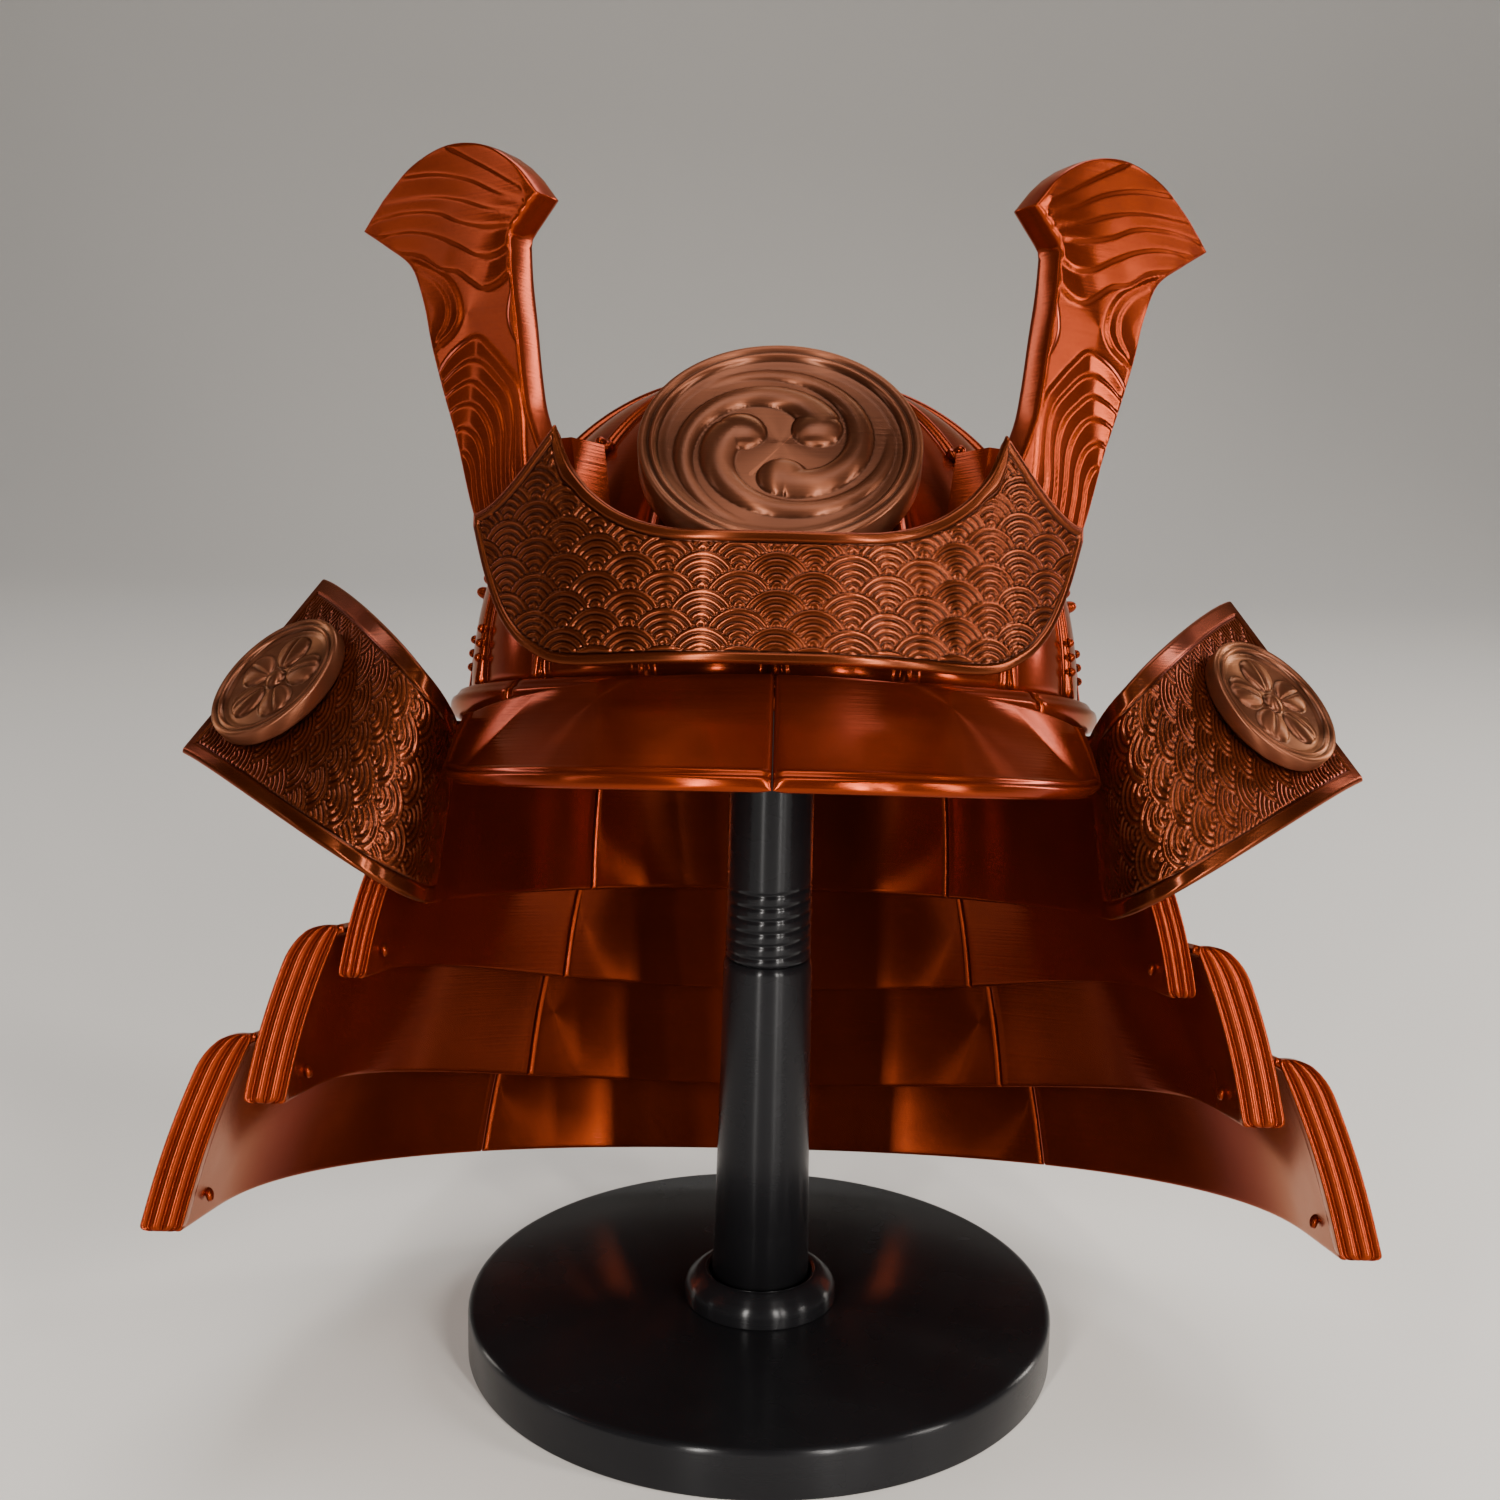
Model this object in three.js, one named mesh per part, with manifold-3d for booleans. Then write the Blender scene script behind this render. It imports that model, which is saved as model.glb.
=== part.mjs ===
// A full-size kabuto samurai helmet on its round display stand, in millimetres, +Z up.
// The origin is the centre of the stand's underside, and the helmet faces -Y.
import * as THREE from "three";
import { mergeVertices } from "three/addons/utils/BufferGeometryUtils.js";
import Module from "manifold-3d";

const wasm = await Module();
wasm.setup();

// ---- Driving dimensions ----------------------------------------------------------------------

const GAP = 0.3; // clearance between neighbouring pieces
const WALL = 3.5; // printed wall of the helmet's shells

// The helmet leans back on the stand; its own frame starts at the centre of the bowl's foot.
const HELMET = { lean: THREE.MathUtils.degToRad(17), y: -38, z: 280.4 };

const STAND = {
  baseRadius: 120, baseHeight: 21, baseRound: 3,
  collarRadius: 31, collarTop: 34, collarBevel: 7,
  postFoot: 20, postJoint: 17.6, postTop: 16,
  jointLow: 170, jointHigh: 204, threadPitch: 8.5, threadDepth: 0.7,
};

const BOWL = {
  half: 110, front: 129, back: 132, foot: 4, height: 119, square: 2.12,
  ribs: 16, ribHeight: 2.4, ribHalfAngle: 2, lobe: 1.2,
};
const RISES = [0, 0.16, 0.33, 0.5, 0.67, 0.84, 1]; // rows of the bowl's outer skin, foot to crown
const INNER_RISES = [0, 0.25, 0.5, 0.75, 1]; // and of its inner skin
const STUD = { radius: 3.4, height: 5.5, sides: 4, levels: [12, 36, 80] };
const FRONT_SECTOR = 62; // degrees either side of the front where the crest's fittings cover the bowl

const RIM = { half: 113, front: 134, back: 135, z: -2, radius: 5.5, seam: 48, sides: 8 };

const BRIM = {
  innerHalf: 120, innerFront: 142, innerTop: 3.3, innerDrop: 12,
  outerHalf: 117, outerFront: 185, outerTop: -33.5, outerRise: 3,
  wall: 3.5,
};
// Columns of one brim half: the angle from the front on the inner and on the outer edge, and the
// share of the slope that the column covers, which rounds off the outer corner.
const BRIM_COLUMNS = [
  { inner: 0, outer: 0, reach: 1 }, { inner: 10, outer: 17, reach: 1 },
  { inner: 20, outer: 33, reach: 1 }, { inner: 30, outer: 48, reach: 1 },
  { inner: 39, outer: 61, reach: 1 }, { inner: 45, outer: 64, reach: 0.99 },
  { inner: 52, outer: 66.5, reach: 0.96 }, { inner: 59, outer: 69, reach: 0.88 },
];

// The crest holder is a band bent round an upright axis, its outline given by angle from the front.
const PLATE = { radius: 140, centreY: -20, wall: 3.5, border: 3.2, relief: 0.9 };
const PLATE_OUTLINE = [
  { angle: 0, low: 5.5, high: 46.7 }, { angle: 8, low: 5.5, high: 46.8 },
  { angle: 14, low: 5.3, high: 47.6 }, { angle: 18.5, low: 5, high: 50.2 },
  { angle: 23, low: 4.6, high: 55.6 }, { angle: 26.5, low: 4.6, high: 62.6 },
  { angle: 29, low: 5.1, high: 70.6 }, { angle: 30.8, low: 6, high: 81 },
  { angle: 33.5, low: 8.8, high: 74 }, { angle: 36.5, low: 13.4, high: 66.6 },
  { angle: 39.5, low: 21.5, high: 60.6 }, { angle: 42.5, low: 35, high: 56.6 },
  { angle: 45, low: 50.5, high: 55 },
];

// The horns are flat boards turned outwards; each plane is given by its distance from the axis.
const HORN = { turn: THREE.MathUtils.degToRad(34), distance: 150.4, thick: 12, bevel: 0.8 };
const SOCKET = { deep: 17 };

const DISC = {
  y: -126, z: 80, lift: THREE.MathUtils.degToRad(37), radius: 45.8, thick: 12, recess: 2.6,
};
const COMMA = { count: 3, turn: 34, headAt: 14.5, head: 8.2, reach: 35, sweep: 215, height: 2.6, steps: 11 };
const BOSS = { radius: 14, length: 46 };

// Lames of the neck guard. Half widths and depths are of the inner face; sag and drop are how
// much lower the back of the top edge and of the bottom edge is than its front ends; end is how
// far the ends reach in front of the helmet's middle.
const LAMES = [
  { top: -8.2, bottom: -74, half: [115, 121], back: [138, 146], sag: 0, drop: -4, end: 30, roll: 0 },
  { top: -47, bottom: -100, half: [126, 140.6], back: [151, 164], sag: 14, drop: 14, end: 51, roll: 6 },
  { top: -81, bottom: -144, half: [149, 166.5], back: [171, 187], sag: 14, drop: 14, end: 55, roll: 11 },
  { top: -119.5, bottom: -189, half: [178, 201], back: [197, 213], sag: 1, drop: 1, end: 55, roll: 11 },
];
const LAME = { seam: 55, square: 2.3, bulge: 2, shelf: 3, rollLength: 13, shoulder: 9, flute: 2 };
const END = -20; // plan angle that stands for a lame's front end
const RIVET = { radius: 2.4, height: 1.6 };

// Turn-backs: the top and bottom edges as cubic curves from the lame outwards.
const WING = {
  top: [[113.6, -31, -10.5], [101.6, -155, 1.4], [157.3, -12, 41.4], [168.4, 2.3, 44.4]],
  bottom: [[121, -31, -73], [108.3, -162, -75.8], [192.7, -59.5, -27.6], [208.4, -43, -22.4]],
  wall: 3, border: 0.055, relief: 0.8,
};
const CREST = { radius: 27, thick: 6.5, petals: 5, along: 0.75, across: 0.47 };

// ---- Materials -------------------------------------------------------------------------------

const copper = () => new THREE.MeshStandardMaterial({ color: 0xa8521f, roughness: 0.28, metalness: 0.75 });
const bronze = () => new THREE.MeshStandardMaterial({ color: 0x7a5a48, roughness: 0.42, metalness: 0.6 });
const black = () => new THREE.MeshStandardMaterial({ color: 0x17181a, roughness: 0.35, metalness: 0 });

// ---- Helpers ---------------------------------------------------------------------------------

const rad = THREE.MathUtils.degToRad;
const mix = THREE.MathUtils.lerp;
const power = (value, exponent) => Math.sign(value) * Math.abs(value) ** exponent;

/** The geometry with only positions, shared vertices merged and its faces turned outwards. */
function closed(geometry) {
  const g = geometry.index ? geometry : mergeVertices(geometry);
  g.deleteAttribute("normal");
  g.deleteAttribute("uv");
  const merged = mergeVertices(g, 1e-4);
  const p = merged.getAttribute("position");
  const index = Array.from(merged.index.array).filter((_, i, all) => {
    const [a, b, c] = all.slice(i - (i % 3), i - (i % 3) + 3);
    return a !== b && b !== c && c !== a;
  });
  const a = new THREE.Vector3();
  const b = new THREE.Vector3();
  const c = new THREE.Vector3();
  let volume = 0;
  for (let i = 0; i < index.length; i += 3) {
    a.fromBufferAttribute(p, index[i]);
    b.fromBufferAttribute(p, index[i + 1]);
    c.fromBufferAttribute(p, index[i + 2]);
    volume += a.dot(b.cross(c));
  }
  if (volume < 0) {
    for (let i = 0; i < index.length; i += 3) {
      [index[i + 1], index[i + 2]] = [index[i + 2], index[i + 1]];
    }
  }
  merged.setIndex(index);
  return merged;
}

/** Moves every vertex of a geometry to place(vertex). */
function bend(geometry, place) {
  const p = geometry.getAttribute("position");
  const v = new THREE.Vector3();
  for (let i = 0; i < p.count; i++) {
    v.fromBufferAttribute(p, i);
    const to = place(v);
    p.setXYZ(i, to.x, to.y, to.z);
  }
  return geometry;
}

/** A curved sheet of nu by nv cells, nw deep: place(i, j, w) puts column i, row j, depth w (0 to 1). */
function sheet(nu, nv, nw, place) {
  const box = new THREE.BoxGeometry(1, 1, 1, nu, nv, nw);
  return closed(bend(box, (v) =>
    place(Math.round((v.x + 0.5) * nu), Math.round((v.y + 0.5) * nv), v.z + 0.5)));
}

const toSolid = (geometry) =>
  new wasm.Manifold(new wasm.Mesh({
    numProp: 3,
    vertProperties: geometry.getAttribute("position").array,
    triVerts: new Uint32Array(geometry.index.array),
  }));

function toGeometry(solid) {
  const mesh = solid.getMesh();
  return new THREE.BufferGeometry()
    .setAttribute("position", new THREE.BufferAttribute(mesh.vertProperties, 3))
    .setIndex(new THREE.BufferAttribute(mesh.triVerts, 1));
}

/** One body from several overlapping geometries. */
const joined = (...parts) =>
  toGeometry(parts.map((g) => toSolid(closed(g))).reduce((sum, next) => sum.add(next)));

const cut = (geometry, tool) => toGeometry(toSolid(closed(geometry)).subtract(toSolid(closed(tool))));

const lathe = (profile, sides) =>
  closed(new THREE.LatheGeometry(profile.map(([r, z]) => new THREE.Vector2(r, z)), sides)
    .rotateX(Math.PI / 2));

const mesh = (name, geometry, material) => {
  const made = new THREE.Mesh(geometry, material);
  made.name = name;
  return made;
};

const SIDES = [{ name: "left", sign: -1 }, { name: "right", sign: 1 }];

// ---- Stand -----------------------------------------------------------------------------------

function standBase() {
  const { baseRadius: r, baseHeight: h, baseRound: e } = STAND;
  return lathe([[0, 0], [r - 1, 0], [r, 1], [r, h - e], [r - e * 0.3, h - e * 0.3], [r - e, h], [0, h]], 48);
}

function standCollar() {
  const low = STAND.baseHeight + GAP;
  const { collarRadius: r, collarTop: top, collarBevel: e } = STAND;
  const bore = STAND.postFoot + GAP;
  return lathe([[bore, low], [r, low], [r, top - e], [r - 1.5, top - e / 3], [bore + 3, top], [bore, top],
    [bore, low]], 32);
}

/** The post's outer radius at a height: a slow taper up to the joint, then a slower one. */
function postRadius(z) {
  return z < STAND.jointLow
    ? mix(STAND.postFoot, STAND.postJoint, (z - STAND.baseHeight) / (STAND.jointLow - STAND.baseHeight))
    : mix(STAND.postJoint - 0.5, STAND.postTop, (z - STAND.jointLow) / (400 - STAND.jointLow));
}

function postLower() {
  const low = STAND.baseHeight + GAP;
  const top = STAND.jointLow;
  return lathe([[0, low], [STAND.postFoot, low], [postRadius(90), 90], [postRadius(top - 2), top - 2],
    [STAND.postJoint - 1.5, top], [0, top]], 20);
}

/** The upper section: a shallow screwed zone, a plain shaft and a round rest under the crown. */
function postUpper(restTop) {
  const low = STAND.jointLow + GAP;
  const profile = [[0, low]];
  for (let z = low; z < STAND.jointHigh - 1; z += STAND.threadPitch) {
    profile.push([postRadius(z) - STAND.threadDepth, z]);
    profile.push([postRadius(z), z + STAND.threadPitch / 2]);
  }
  const shoulder = restTop - STAND.postTop * 0.8;
  profile.push([postRadius(STAND.jointHigh), STAND.jointHigh], [STAND.postTop, shoulder]);
  for (const turn of [30, 60]) {
    profile.push([STAND.postTop * Math.cos(rad(turn)), mix(shoulder, restTop, Math.sin(rad(turn)))]);
  }
  profile.push([0, restTop]);
  return lathe(profile, 20);
}

// ---- Bowl ------------------------------------------------------------------------------------

/** A point of the bowl's surface: turn is degrees from the front, rise runs 0 (foot) to 1 (crown). */
function bowlPoint(turn, rise, offset = 0) {
  const t = rad(turn);
  const r = rad(rise * 90);
  const out = power(Math.cos(r), 2 / BOWL.square);
  const depth = Math.cos(t) > 0 ? BOWL.front : BOWL.back;
  return new THREE.Vector3(
    (BOWL.half + offset) * Math.sin(t) * out,
    -(depth + offset) * Math.cos(t) * out,
    BOWL.foot + (BOWL.height + offset) * power(Math.sin(r), 2 / BOWL.square),
  );
}

/**
 * A closed dome with the bowl's plan, from a lathe whose profile runs from the crown down the outer
 * skin and, if it is hollow, back up the inner one. swell(column, rise) moves the outer skin out.
 */
function dome(columns, turnOf, swell, inner) {
  const outer = [...RISES].reverse().map((rise) => new THREE.Vector2(1 - rise, rise + 2));
  const rest = inner === undefined
    ? [new THREE.Vector2(0, 0)]
    : INNER_RISES.map((rise) => new THREE.Vector2(1 - rise, rise));
  const geometry = new THREE.LatheGeometry([...outer, ...rest], columns);
  return closed(bend(geometry, (v) => {
    if (v.y > 1.5) {
      const column = Math.round((Math.atan2(v.x, v.z) / (2 * Math.PI)) * columns + columns) % columns;
      return bowlPoint(turnOf(column), v.y - 2, swell(column, v.y - 2));
    }
    if (inner === undefined) return new THREE.Vector3(0, 0, BOWL.foot);
    const column = Math.round((Math.atan2(v.x, v.z) / (2 * Math.PI)) * columns + columns) % columns;
    return bowlPoint(turnOf(column), v.y, inner);
  }));
}

/** Four columns to each rib: its crest, its two flanks and the lobe between two ribs. */
function ribTurn(column) {
  const pitch = 360 / BOWL.ribs;
  const within = [0, BOWL.ribHalfAngle, pitch / 2, pitch - BOWL.ribHalfAngle][column % 4];
  return Math.floor(column / 4) * pitch + within;
}

function ribSwell(column, rise) {
  const fade = 1 - rise ** 4;
  return [BOWL.ribHeight, 0, BOWL.lobe, 0][column % 4] * fade;
}

/** The height above the foot turned into the rise that reaches it. */
const riseAt = (height) =>
  THREE.MathUtils.radToDeg(Math.asin((height / BOWL.height) ** (BOWL.square / 2))) / 90;

function stud(turn, height) {
  const at = bowlPoint(turn, riseAt(height), BOWL.ribHeight * 0.5);
  const out = bowlPoint(turn, riseAt(height), BOWL.ribHeight + 4).sub(at).normalize();
  return new THREE.ConeGeometry(STUD.radius, STUD.height, STUD.sides)
    .applyQuaternion(new THREE.Quaternion().setFromUnitVectors(new THREE.Vector3(0, 1, 0), out))
    .translate(at.x + out.x * 2, at.y + out.y * 2, at.z + out.z * 2);
}

function bowl() {
  const shell = dome(BOWL.ribs * 4, ribTurn, ribSwell, -WALL);
  const studs = [];
  for (let rib = 0; rib < BOWL.ribs; rib++) {
    const turn = rib * (360 / BOWL.ribs);
    const fromFront = Math.min(turn, 360 - turn);
    for (const level of STUD.levels) {
      const covered = fromFront < FRONT_SECTOR && (level < 60 || fromFront < 15);
      if (!covered) studs.push(stud(turn, level));
    }
  }
  return joined(shell, ...studs);
}

/** The room the bowl takes, a little swollen, for cutting what stands against it. */
const bowlRoom = () => dome(40, (column) => column * 9, () => BOWL.ribHeight + GAP + 0.3);

// ---- Rim and brim ----------------------------------------------------------------------------

class RimPath extends THREE.Curve {
  constructor(from, to) {
    super();
    this.from = from;
    this.to = to;
  }

  getPoint(t, target = new THREE.Vector3()) {
    const turn = rad(mix(this.from, this.to, t));
    const depth = Math.cos(turn) > 0 ? RIM.front : RIM.back;
    return target.set(RIM.half * Math.sin(turn), -depth * Math.cos(turn), RIM.z);
  }
}

/** A length of the rounded moulding between two angles from the front. */
function rimPiece(from, to, steps) {
  const circle = new THREE.Shape();
  for (let i = 0; i < RIM.sides; i++) {
    const turn = ((i + 0.5) / RIM.sides) * 2 * Math.PI;
    const point = [RIM.radius * Math.cos(turn), RIM.radius * Math.sin(turn)];
    if (i) circle.lineTo(...point);
    else circle.moveTo(...point);
  }
  return closed(new THREE.ExtrudeGeometry(circle, { steps, extrudePath: new RimPath(from, to) }));
}

/** One half of the brim: a sloping sheet with a rolled bead along its outer edge. */
function brimHalf(sign) {
  // Rows from the rim outwards: share of the slope, and the lift of the under and upper skins.
  const rows = [
    { at: 0, under: -0.5, upper: 0.5 }, { at: 0.82, under: -0.5, upper: 0.5 },
    { at: 0.87, under: -0.5, upper: 1.2 }, { at: 0.95, under: -1.1, upper: 1.4 },
    { at: 1, under: -0.5, upper: 0.4 },
  ];
  const end = BRIM_COLUMNS.at(-1);
  return sheet(BRIM_COLUMNS.length - 1, rows.length - 1, 1, (i, j, w) => {
    const { inner, outer, reach } = BRIM_COLUMNS[i];
    const a = new THREE.Vector3(
      BRIM.innerHalf * Math.sin(rad(inner)),
      -BRIM.innerFront * Math.cos(rad(inner)),
      BRIM.innerTop - BRIM.innerDrop * (inner / end.inner) ** 2,
    );
    const b = new THREE.Vector3(
      BRIM.outerHalf * Math.sin(rad(outer)) ** 0.85,
      -BRIM.outerFront * Math.cos(rad(outer)) ** 0.9,
      BRIM.outerTop + BRIM.outerRise * (outer / end.outer) ** 3,
    );
    const slope = b.clone().sub(a);
    const along = new THREE.Vector3(Math.cos(rad(inner)), Math.sin(rad(inner)), 0);
    const normal = slope.clone().cross(along).normalize().multiplyScalar(-1);
    const row = rows[j];
    const point = a.addScaledVector(slope, row.at * reach)
      .addScaledVector(normal, BRIM.wall * mix(row.under, row.upper, w));
    if (i === 0) point.x = GAP / 2;
    point.x *= sign;
    return point;
  });
}

// ---- Front crest -----------------------------------------------------------------------------

/** The patterned holder: a bent band with a raised border round a lower field. */
function frontPlate() {
  const half = PLATE_OUTLINE.flatMap((row, i) => {
    if (i !== PLATE_OUTLINE.length - 1) return [{ ...row, raised: false }];
    const inset = PLATE_OUTLINE[i - 1];
    const share = 0.25;
    const edge = {
      angle: mix(row.angle, inset.angle, share), low: mix(row.low, inset.low, share),
      high: mix(row.high, inset.high, share),
    };
    return [{ ...edge, raised: true }, { ...row, raised: true }];
  });
  const columns = [
    ...[...half].reverse().map((row) => ({ ...row, angle: -row.angle })).slice(0, -1),
    ...half,
  ];
  const step = 0.5;
  return sheet(columns.length - 1, 5, 1, (i, j, w) => {
    const { angle, low, high, raised } = columns[i];
    const border = Math.min(PLATE.border, (high - low) * 0.3);
    const inner = Math.min(border + step, (high - low) * 0.4);
    const z = [low, low + border, low + inner, high - inner, high - border, high][j];
    const field = !raised && (j === 2 || j === 3);
    const skin = PLATE.radius - (field ? PLATE.relief : 0);
    const r = w < 0.5 ? PLATE.radius - PLATE.wall : skin;
    return new THREE.Vector3(r * Math.sin(rad(angle)), PLATE.centreY - r * Math.cos(rad(angle)), z);
  });
}

/** Puts a board drawn in its own plane (outwards, up) in place, its back face at the given depth. */
function hornPlane(geometry, sign, depth) {
  const c = Math.cos(HORN.turn);
  const s = Math.sin(HORN.turn);
  return bend(geometry, (v) => {
    const d = HORN.distance - depth + v.z;
    return new THREE.Vector3(sign * (v.x * c + d * s), v.x * s - d * c, v.y);
  });
}

function hornOutline() {
  return new THREE.Shape()
    .moveTo(14, 44)
    .lineTo(19.6, 57.7)
    .quadraticCurveTo(28, 84, 33.5, 97)
    .quadraticCurveTo(40, 114, 43.2, 127)
    .quadraticCurveTo(47.5, 141, 60, 147)
    .lineTo(71.4, 154)
    .quadraticCurveTo(62, 166, 49, 174.5)
    .quadraticCurveTo(36, 182, 18, 176.5)
    .quadraticCurveTo(4, 171, -5, 157.6)
    .lineTo(6, 145.6)
    .quadraticCurveTo(3, 118, -1, 97)
    .quadraticCurveTo(-4, 83, -14, 64)
    .lineTo(-17, 44)
    .lineTo(14, 44);
}

function horn(sign) {
  const board = new THREE.ExtrudeGeometry(hornOutline(), {
    depth: HORN.thick - 2 * HORN.bevel, steps: 1, curveSegments: 5,
    bevelEnabled: true, bevelSegments: 1, bevelSize: HORN.bevel, bevelThickness: HORN.bevel,
    bevelOffset: -HORN.bevel,
  });
  board.translate(0, 0, HORN.bevel);
  return closed(hornPlane(mergeVertices(stripped(board)), sign, HORN.thick));
}

/** The geometry with positions only. */
function stripped(geometry) {
  geometry.deleteAttribute("normal");
  geometry.deleteAttribute("uv");
  return geometry;
}

/** The bracket behind the horn's foot and the holder's tip, cut to the bowl. */
function hornSocket(sign) {
  const outline = new THREE.Shape()
    .moveTo(8, 34)
    .lineTo(12, 52)
    .lineTo(4, 64)
    .lineTo(-6, 80)
    .lineTo(-12, 80)
    .quadraticCurveTo(-15, 62, -17, 50)
    .lineTo(-17, 24)
    .lineTo(-6, 24)
    .lineTo(8, 34);
  const block = new THREE.ExtrudeGeometry(outline, {
    depth: SOCKET.deep, bevelEnabled: false, curveSegments: 4,
  });
  const placed = hornPlane(mergeVertices(stripped(block)), sign, HORN.thick + GAP + SOCKET.deep);
  return cut(placed, bowlRoom());
}

/** The frame of the front disc: its centre and the direction it faces, tilted up from the front. */
function discFrame() {
  const facing = new THREE.Vector3(0, -Math.cos(DISC.lift), Math.sin(DISC.lift));
  const turn = new THREE.Quaternion().setFromUnitVectors(new THREE.Vector3(0, 0, 1), facing);
  return new THREE.Matrix4().compose(new THREE.Vector3(0, DISC.y, DISC.z), turn, new THREE.Vector3(1, 1, 1));
}

/** One comma of the three: a round head whose tail winds out to the rim. */
function comma(turn) {
  const outer = [];
  const inner = [];
  for (let i = 0; i <= COMMA.steps; i++) {
    const t = i / COMMA.steps;
    const angle = rad(turn + COMMA.sweep * t);
    const middle = mix(COMMA.headAt, COMMA.reach, t ** 0.8);
    const width = COMMA.head * (1 - t) ** 1.1 + 0.7;
    outer.push(new THREE.Vector2(Math.cos(angle), Math.sin(angle)).multiplyScalar(middle + width));
    inner.push(new THREE.Vector2(Math.cos(angle), Math.sin(angle)).multiplyScalar(middle - width));
  }
  const centre = new THREE.Vector2(Math.cos(rad(turn)), Math.sin(rad(turn))).multiplyScalar(COMMA.headAt);
  const cap = [-135, -90, -45].map((step) =>
    new THREE.Vector2(Math.cos(rad(turn + step)), Math.sin(rad(turn + step)))
      .multiplyScalar(COMMA.head + 0.7).add(centre));
  const points = [...outer, ...inner.reverse(), ...cap];
  return new THREE.ExtrudeGeometry(new THREE.Shape(points), { depth: COMMA.height + 1, bevelEnabled: false });
}

function frontDisc() {
  const { radius: r, thick, recess } = DISC;
  const disc = lathe([[0, -thick], [r - 2, -thick], [r, 2 - thick], [r, -1], [r - 1.5, 0], [r - 4, 0],
    [r - 6, -recess], [0, -recess]], 32);
  const commas = Array.from({ length: COMMA.count }, (_, i) =>
    comma(COMMA.turn + (i * 360) / COMMA.count).translate(0, 0, -recess - 0.8));
  return joined(disc, ...commas).applyMatrix4(discFrame());
}

/** The plain peg that carries the disc on the bowl. */
function discBoss() {
  const peg = new THREE.CylinderGeometry(BOSS.radius, BOSS.radius, BOSS.length, 16)
    .rotateX(Math.PI / 2)
    .translate(0, 0, -DISC.thick - GAP - BOSS.length / 2)
    .applyMatrix4(discFrame());
  return cut(peg, bowlRoom());
}

// ---- Neck guard ------------------------------------------------------------------------------

/** The plan of a lame at angle p: straight at the sides in front, a squared half oval behind. */
function neckPlan(p, half, back, end) {
  if (p < 0) return [half, (end * p) / -END];
  const e = 2 / LAME.square;
  return [half * power(Math.cos(rad(p)), e), back * power(Math.sin(rad(p)), e)];
}

/** Heights of a lame's top and bottom edges at plan angle p. */
const topEdge = (lame, p) => lame.top - lame.sag * Math.sin(rad(Math.max(p, 0))) ** 2;
const bottomEdge = (lame, p) => lame.bottom - lame.drop * Math.sin(rad(Math.max(p, 0))) ** 2;

/** Half width and depth of a lame's inner face at height z, at plan angle p. */
function wallAt(lame, p, z) {
  const t = (topEdge(lame, p) - z) / (lame.top - lame.bottom);
  const swell = LAME.bulge * Math.sin(Math.PI * THREE.MathUtils.clamp(t, 0, 1));
  return { half: mix(...lame.half, t) + swell, back: mix(...lame.back, t) + swell };
}

/** What a lame's shelf reaches in to: the lame above, or the rim for the first. */
function shelfReach(index, p, z) {
  if (index === 0) return { half: RIM.half - 3, back: RIM.back - 3 };
  const above = wallAt(LAMES[index - 1], p, z);
  return { half: above.half + WALL + 3 * GAP, back: above.back + WALL + 3 * GAP };
}

/** One segment of a lame over the given plan angles; sideOf gives each column's side of the middle. */
function lameSegment(index, columns, depths) {
  const lame = LAMES[index];
  return sheet(columns.length - 1, 4, depths, (i, j, w) => {
    const { p, sign, rolled, trim } = columns[i];
    const top = topEdge(lame, p);
    const bottom = bottomEdge(lame, p);
    const shoulder = top - LAME.shoulder;
    const z = [top, top, shoulder, (shoulder + bottom) / 2, bottom][j];
    const skinZ = j < 2 ? z - LAME.shelf * (1 - w) : z;
    const wall = wallAt(lame, p, z);
    const roll = rolled ? lame.roll * (j < 2 ? 0.55 : 1) : 0;
    const onRoll = p < END * (1 - (LAME.rollLength + 4) / lame.end);
    let half = wall.half + w * (WALL + roll);
    let back = wall.back + w * (WALL + roll);
    if (j === 0) {
      const reach = shelfReach(index, p, top);
      half = onRoll && index ? wall.half - 0.8 : reach.half;
      back = onRoll && index ? wall.back - 0.8 : reach.back;
    }
    const [x, y] = neckPlan(p, half, back, lame.end);
    const flute = p === END && depths > 1 ? LAME.flute * (Math.round(w * depths) % 2) : 0;
    return new THREE.Vector3(sign * x + trim, y - flute, skinZ);
  });
}

/** The left or right third of a lame, from its rolled front end to the seam. */
function lameSide(index, sign) {
  const lame = LAMES[index];
  const rollEnd = END * (1 - LAME.rollLength / lame.end);
  const plain = END * (1 - (LAME.rollLength + 3.5) / lame.end);
  const angles = lame.roll
    ? [END, rollEnd, plain, 0, 14, 28, 42, LAME.seam - 0.1]
    : [END, 0, 14, 28, 42, LAME.seam - 0.1];
  const columns = angles.map((p) => ({ p, sign, rolled: lame.roll > 0 && p <= rollEnd, trim: 0 }));
  return lameSegment(index, columns, lame.roll ? 6 : 1);
}

/** The middle third at the back, between the two seams. */
function lameBack(index) {
  const half = [LAME.seam + 0.1, 62, 70, 79, 90];
  const columns = [
    ...half.map((p) => ({ p, sign: -1, rolled: false, trim: 0 })),
    ...half.slice(0, -1).reverse().map((p) => ({ p, sign: 1, rolled: false, trim: 0 })),
  ];
  return lameSegment(index, columns, 1);
}

/** A small domed rivet on the inner face near a lame's front end. */
function rivet(index, sign) {
  const lame = LAMES[index];
  const z = lame.bottom + 9;
  const p = END * 0.45;
  const [x, y] = neckPlan(p, wallAt(lame, p, z).half - 2 * GAP, 0, lame.end);
  const { radius: r, height: h } = RIVET;
  const slope = Math.atan2(lame.half[1] - lame.half[0], lame.top - lame.bottom);
  return lathe([[0, 0], [r, 0], [r * 0.8, h * 0.6], [0, h]], 8)
    .rotateY(-sign * (Math.PI / 2 + slope))
    .translate(sign * x, y, z);
}

// ---- Turn-backs ------------------------------------------------------------------------------

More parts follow.
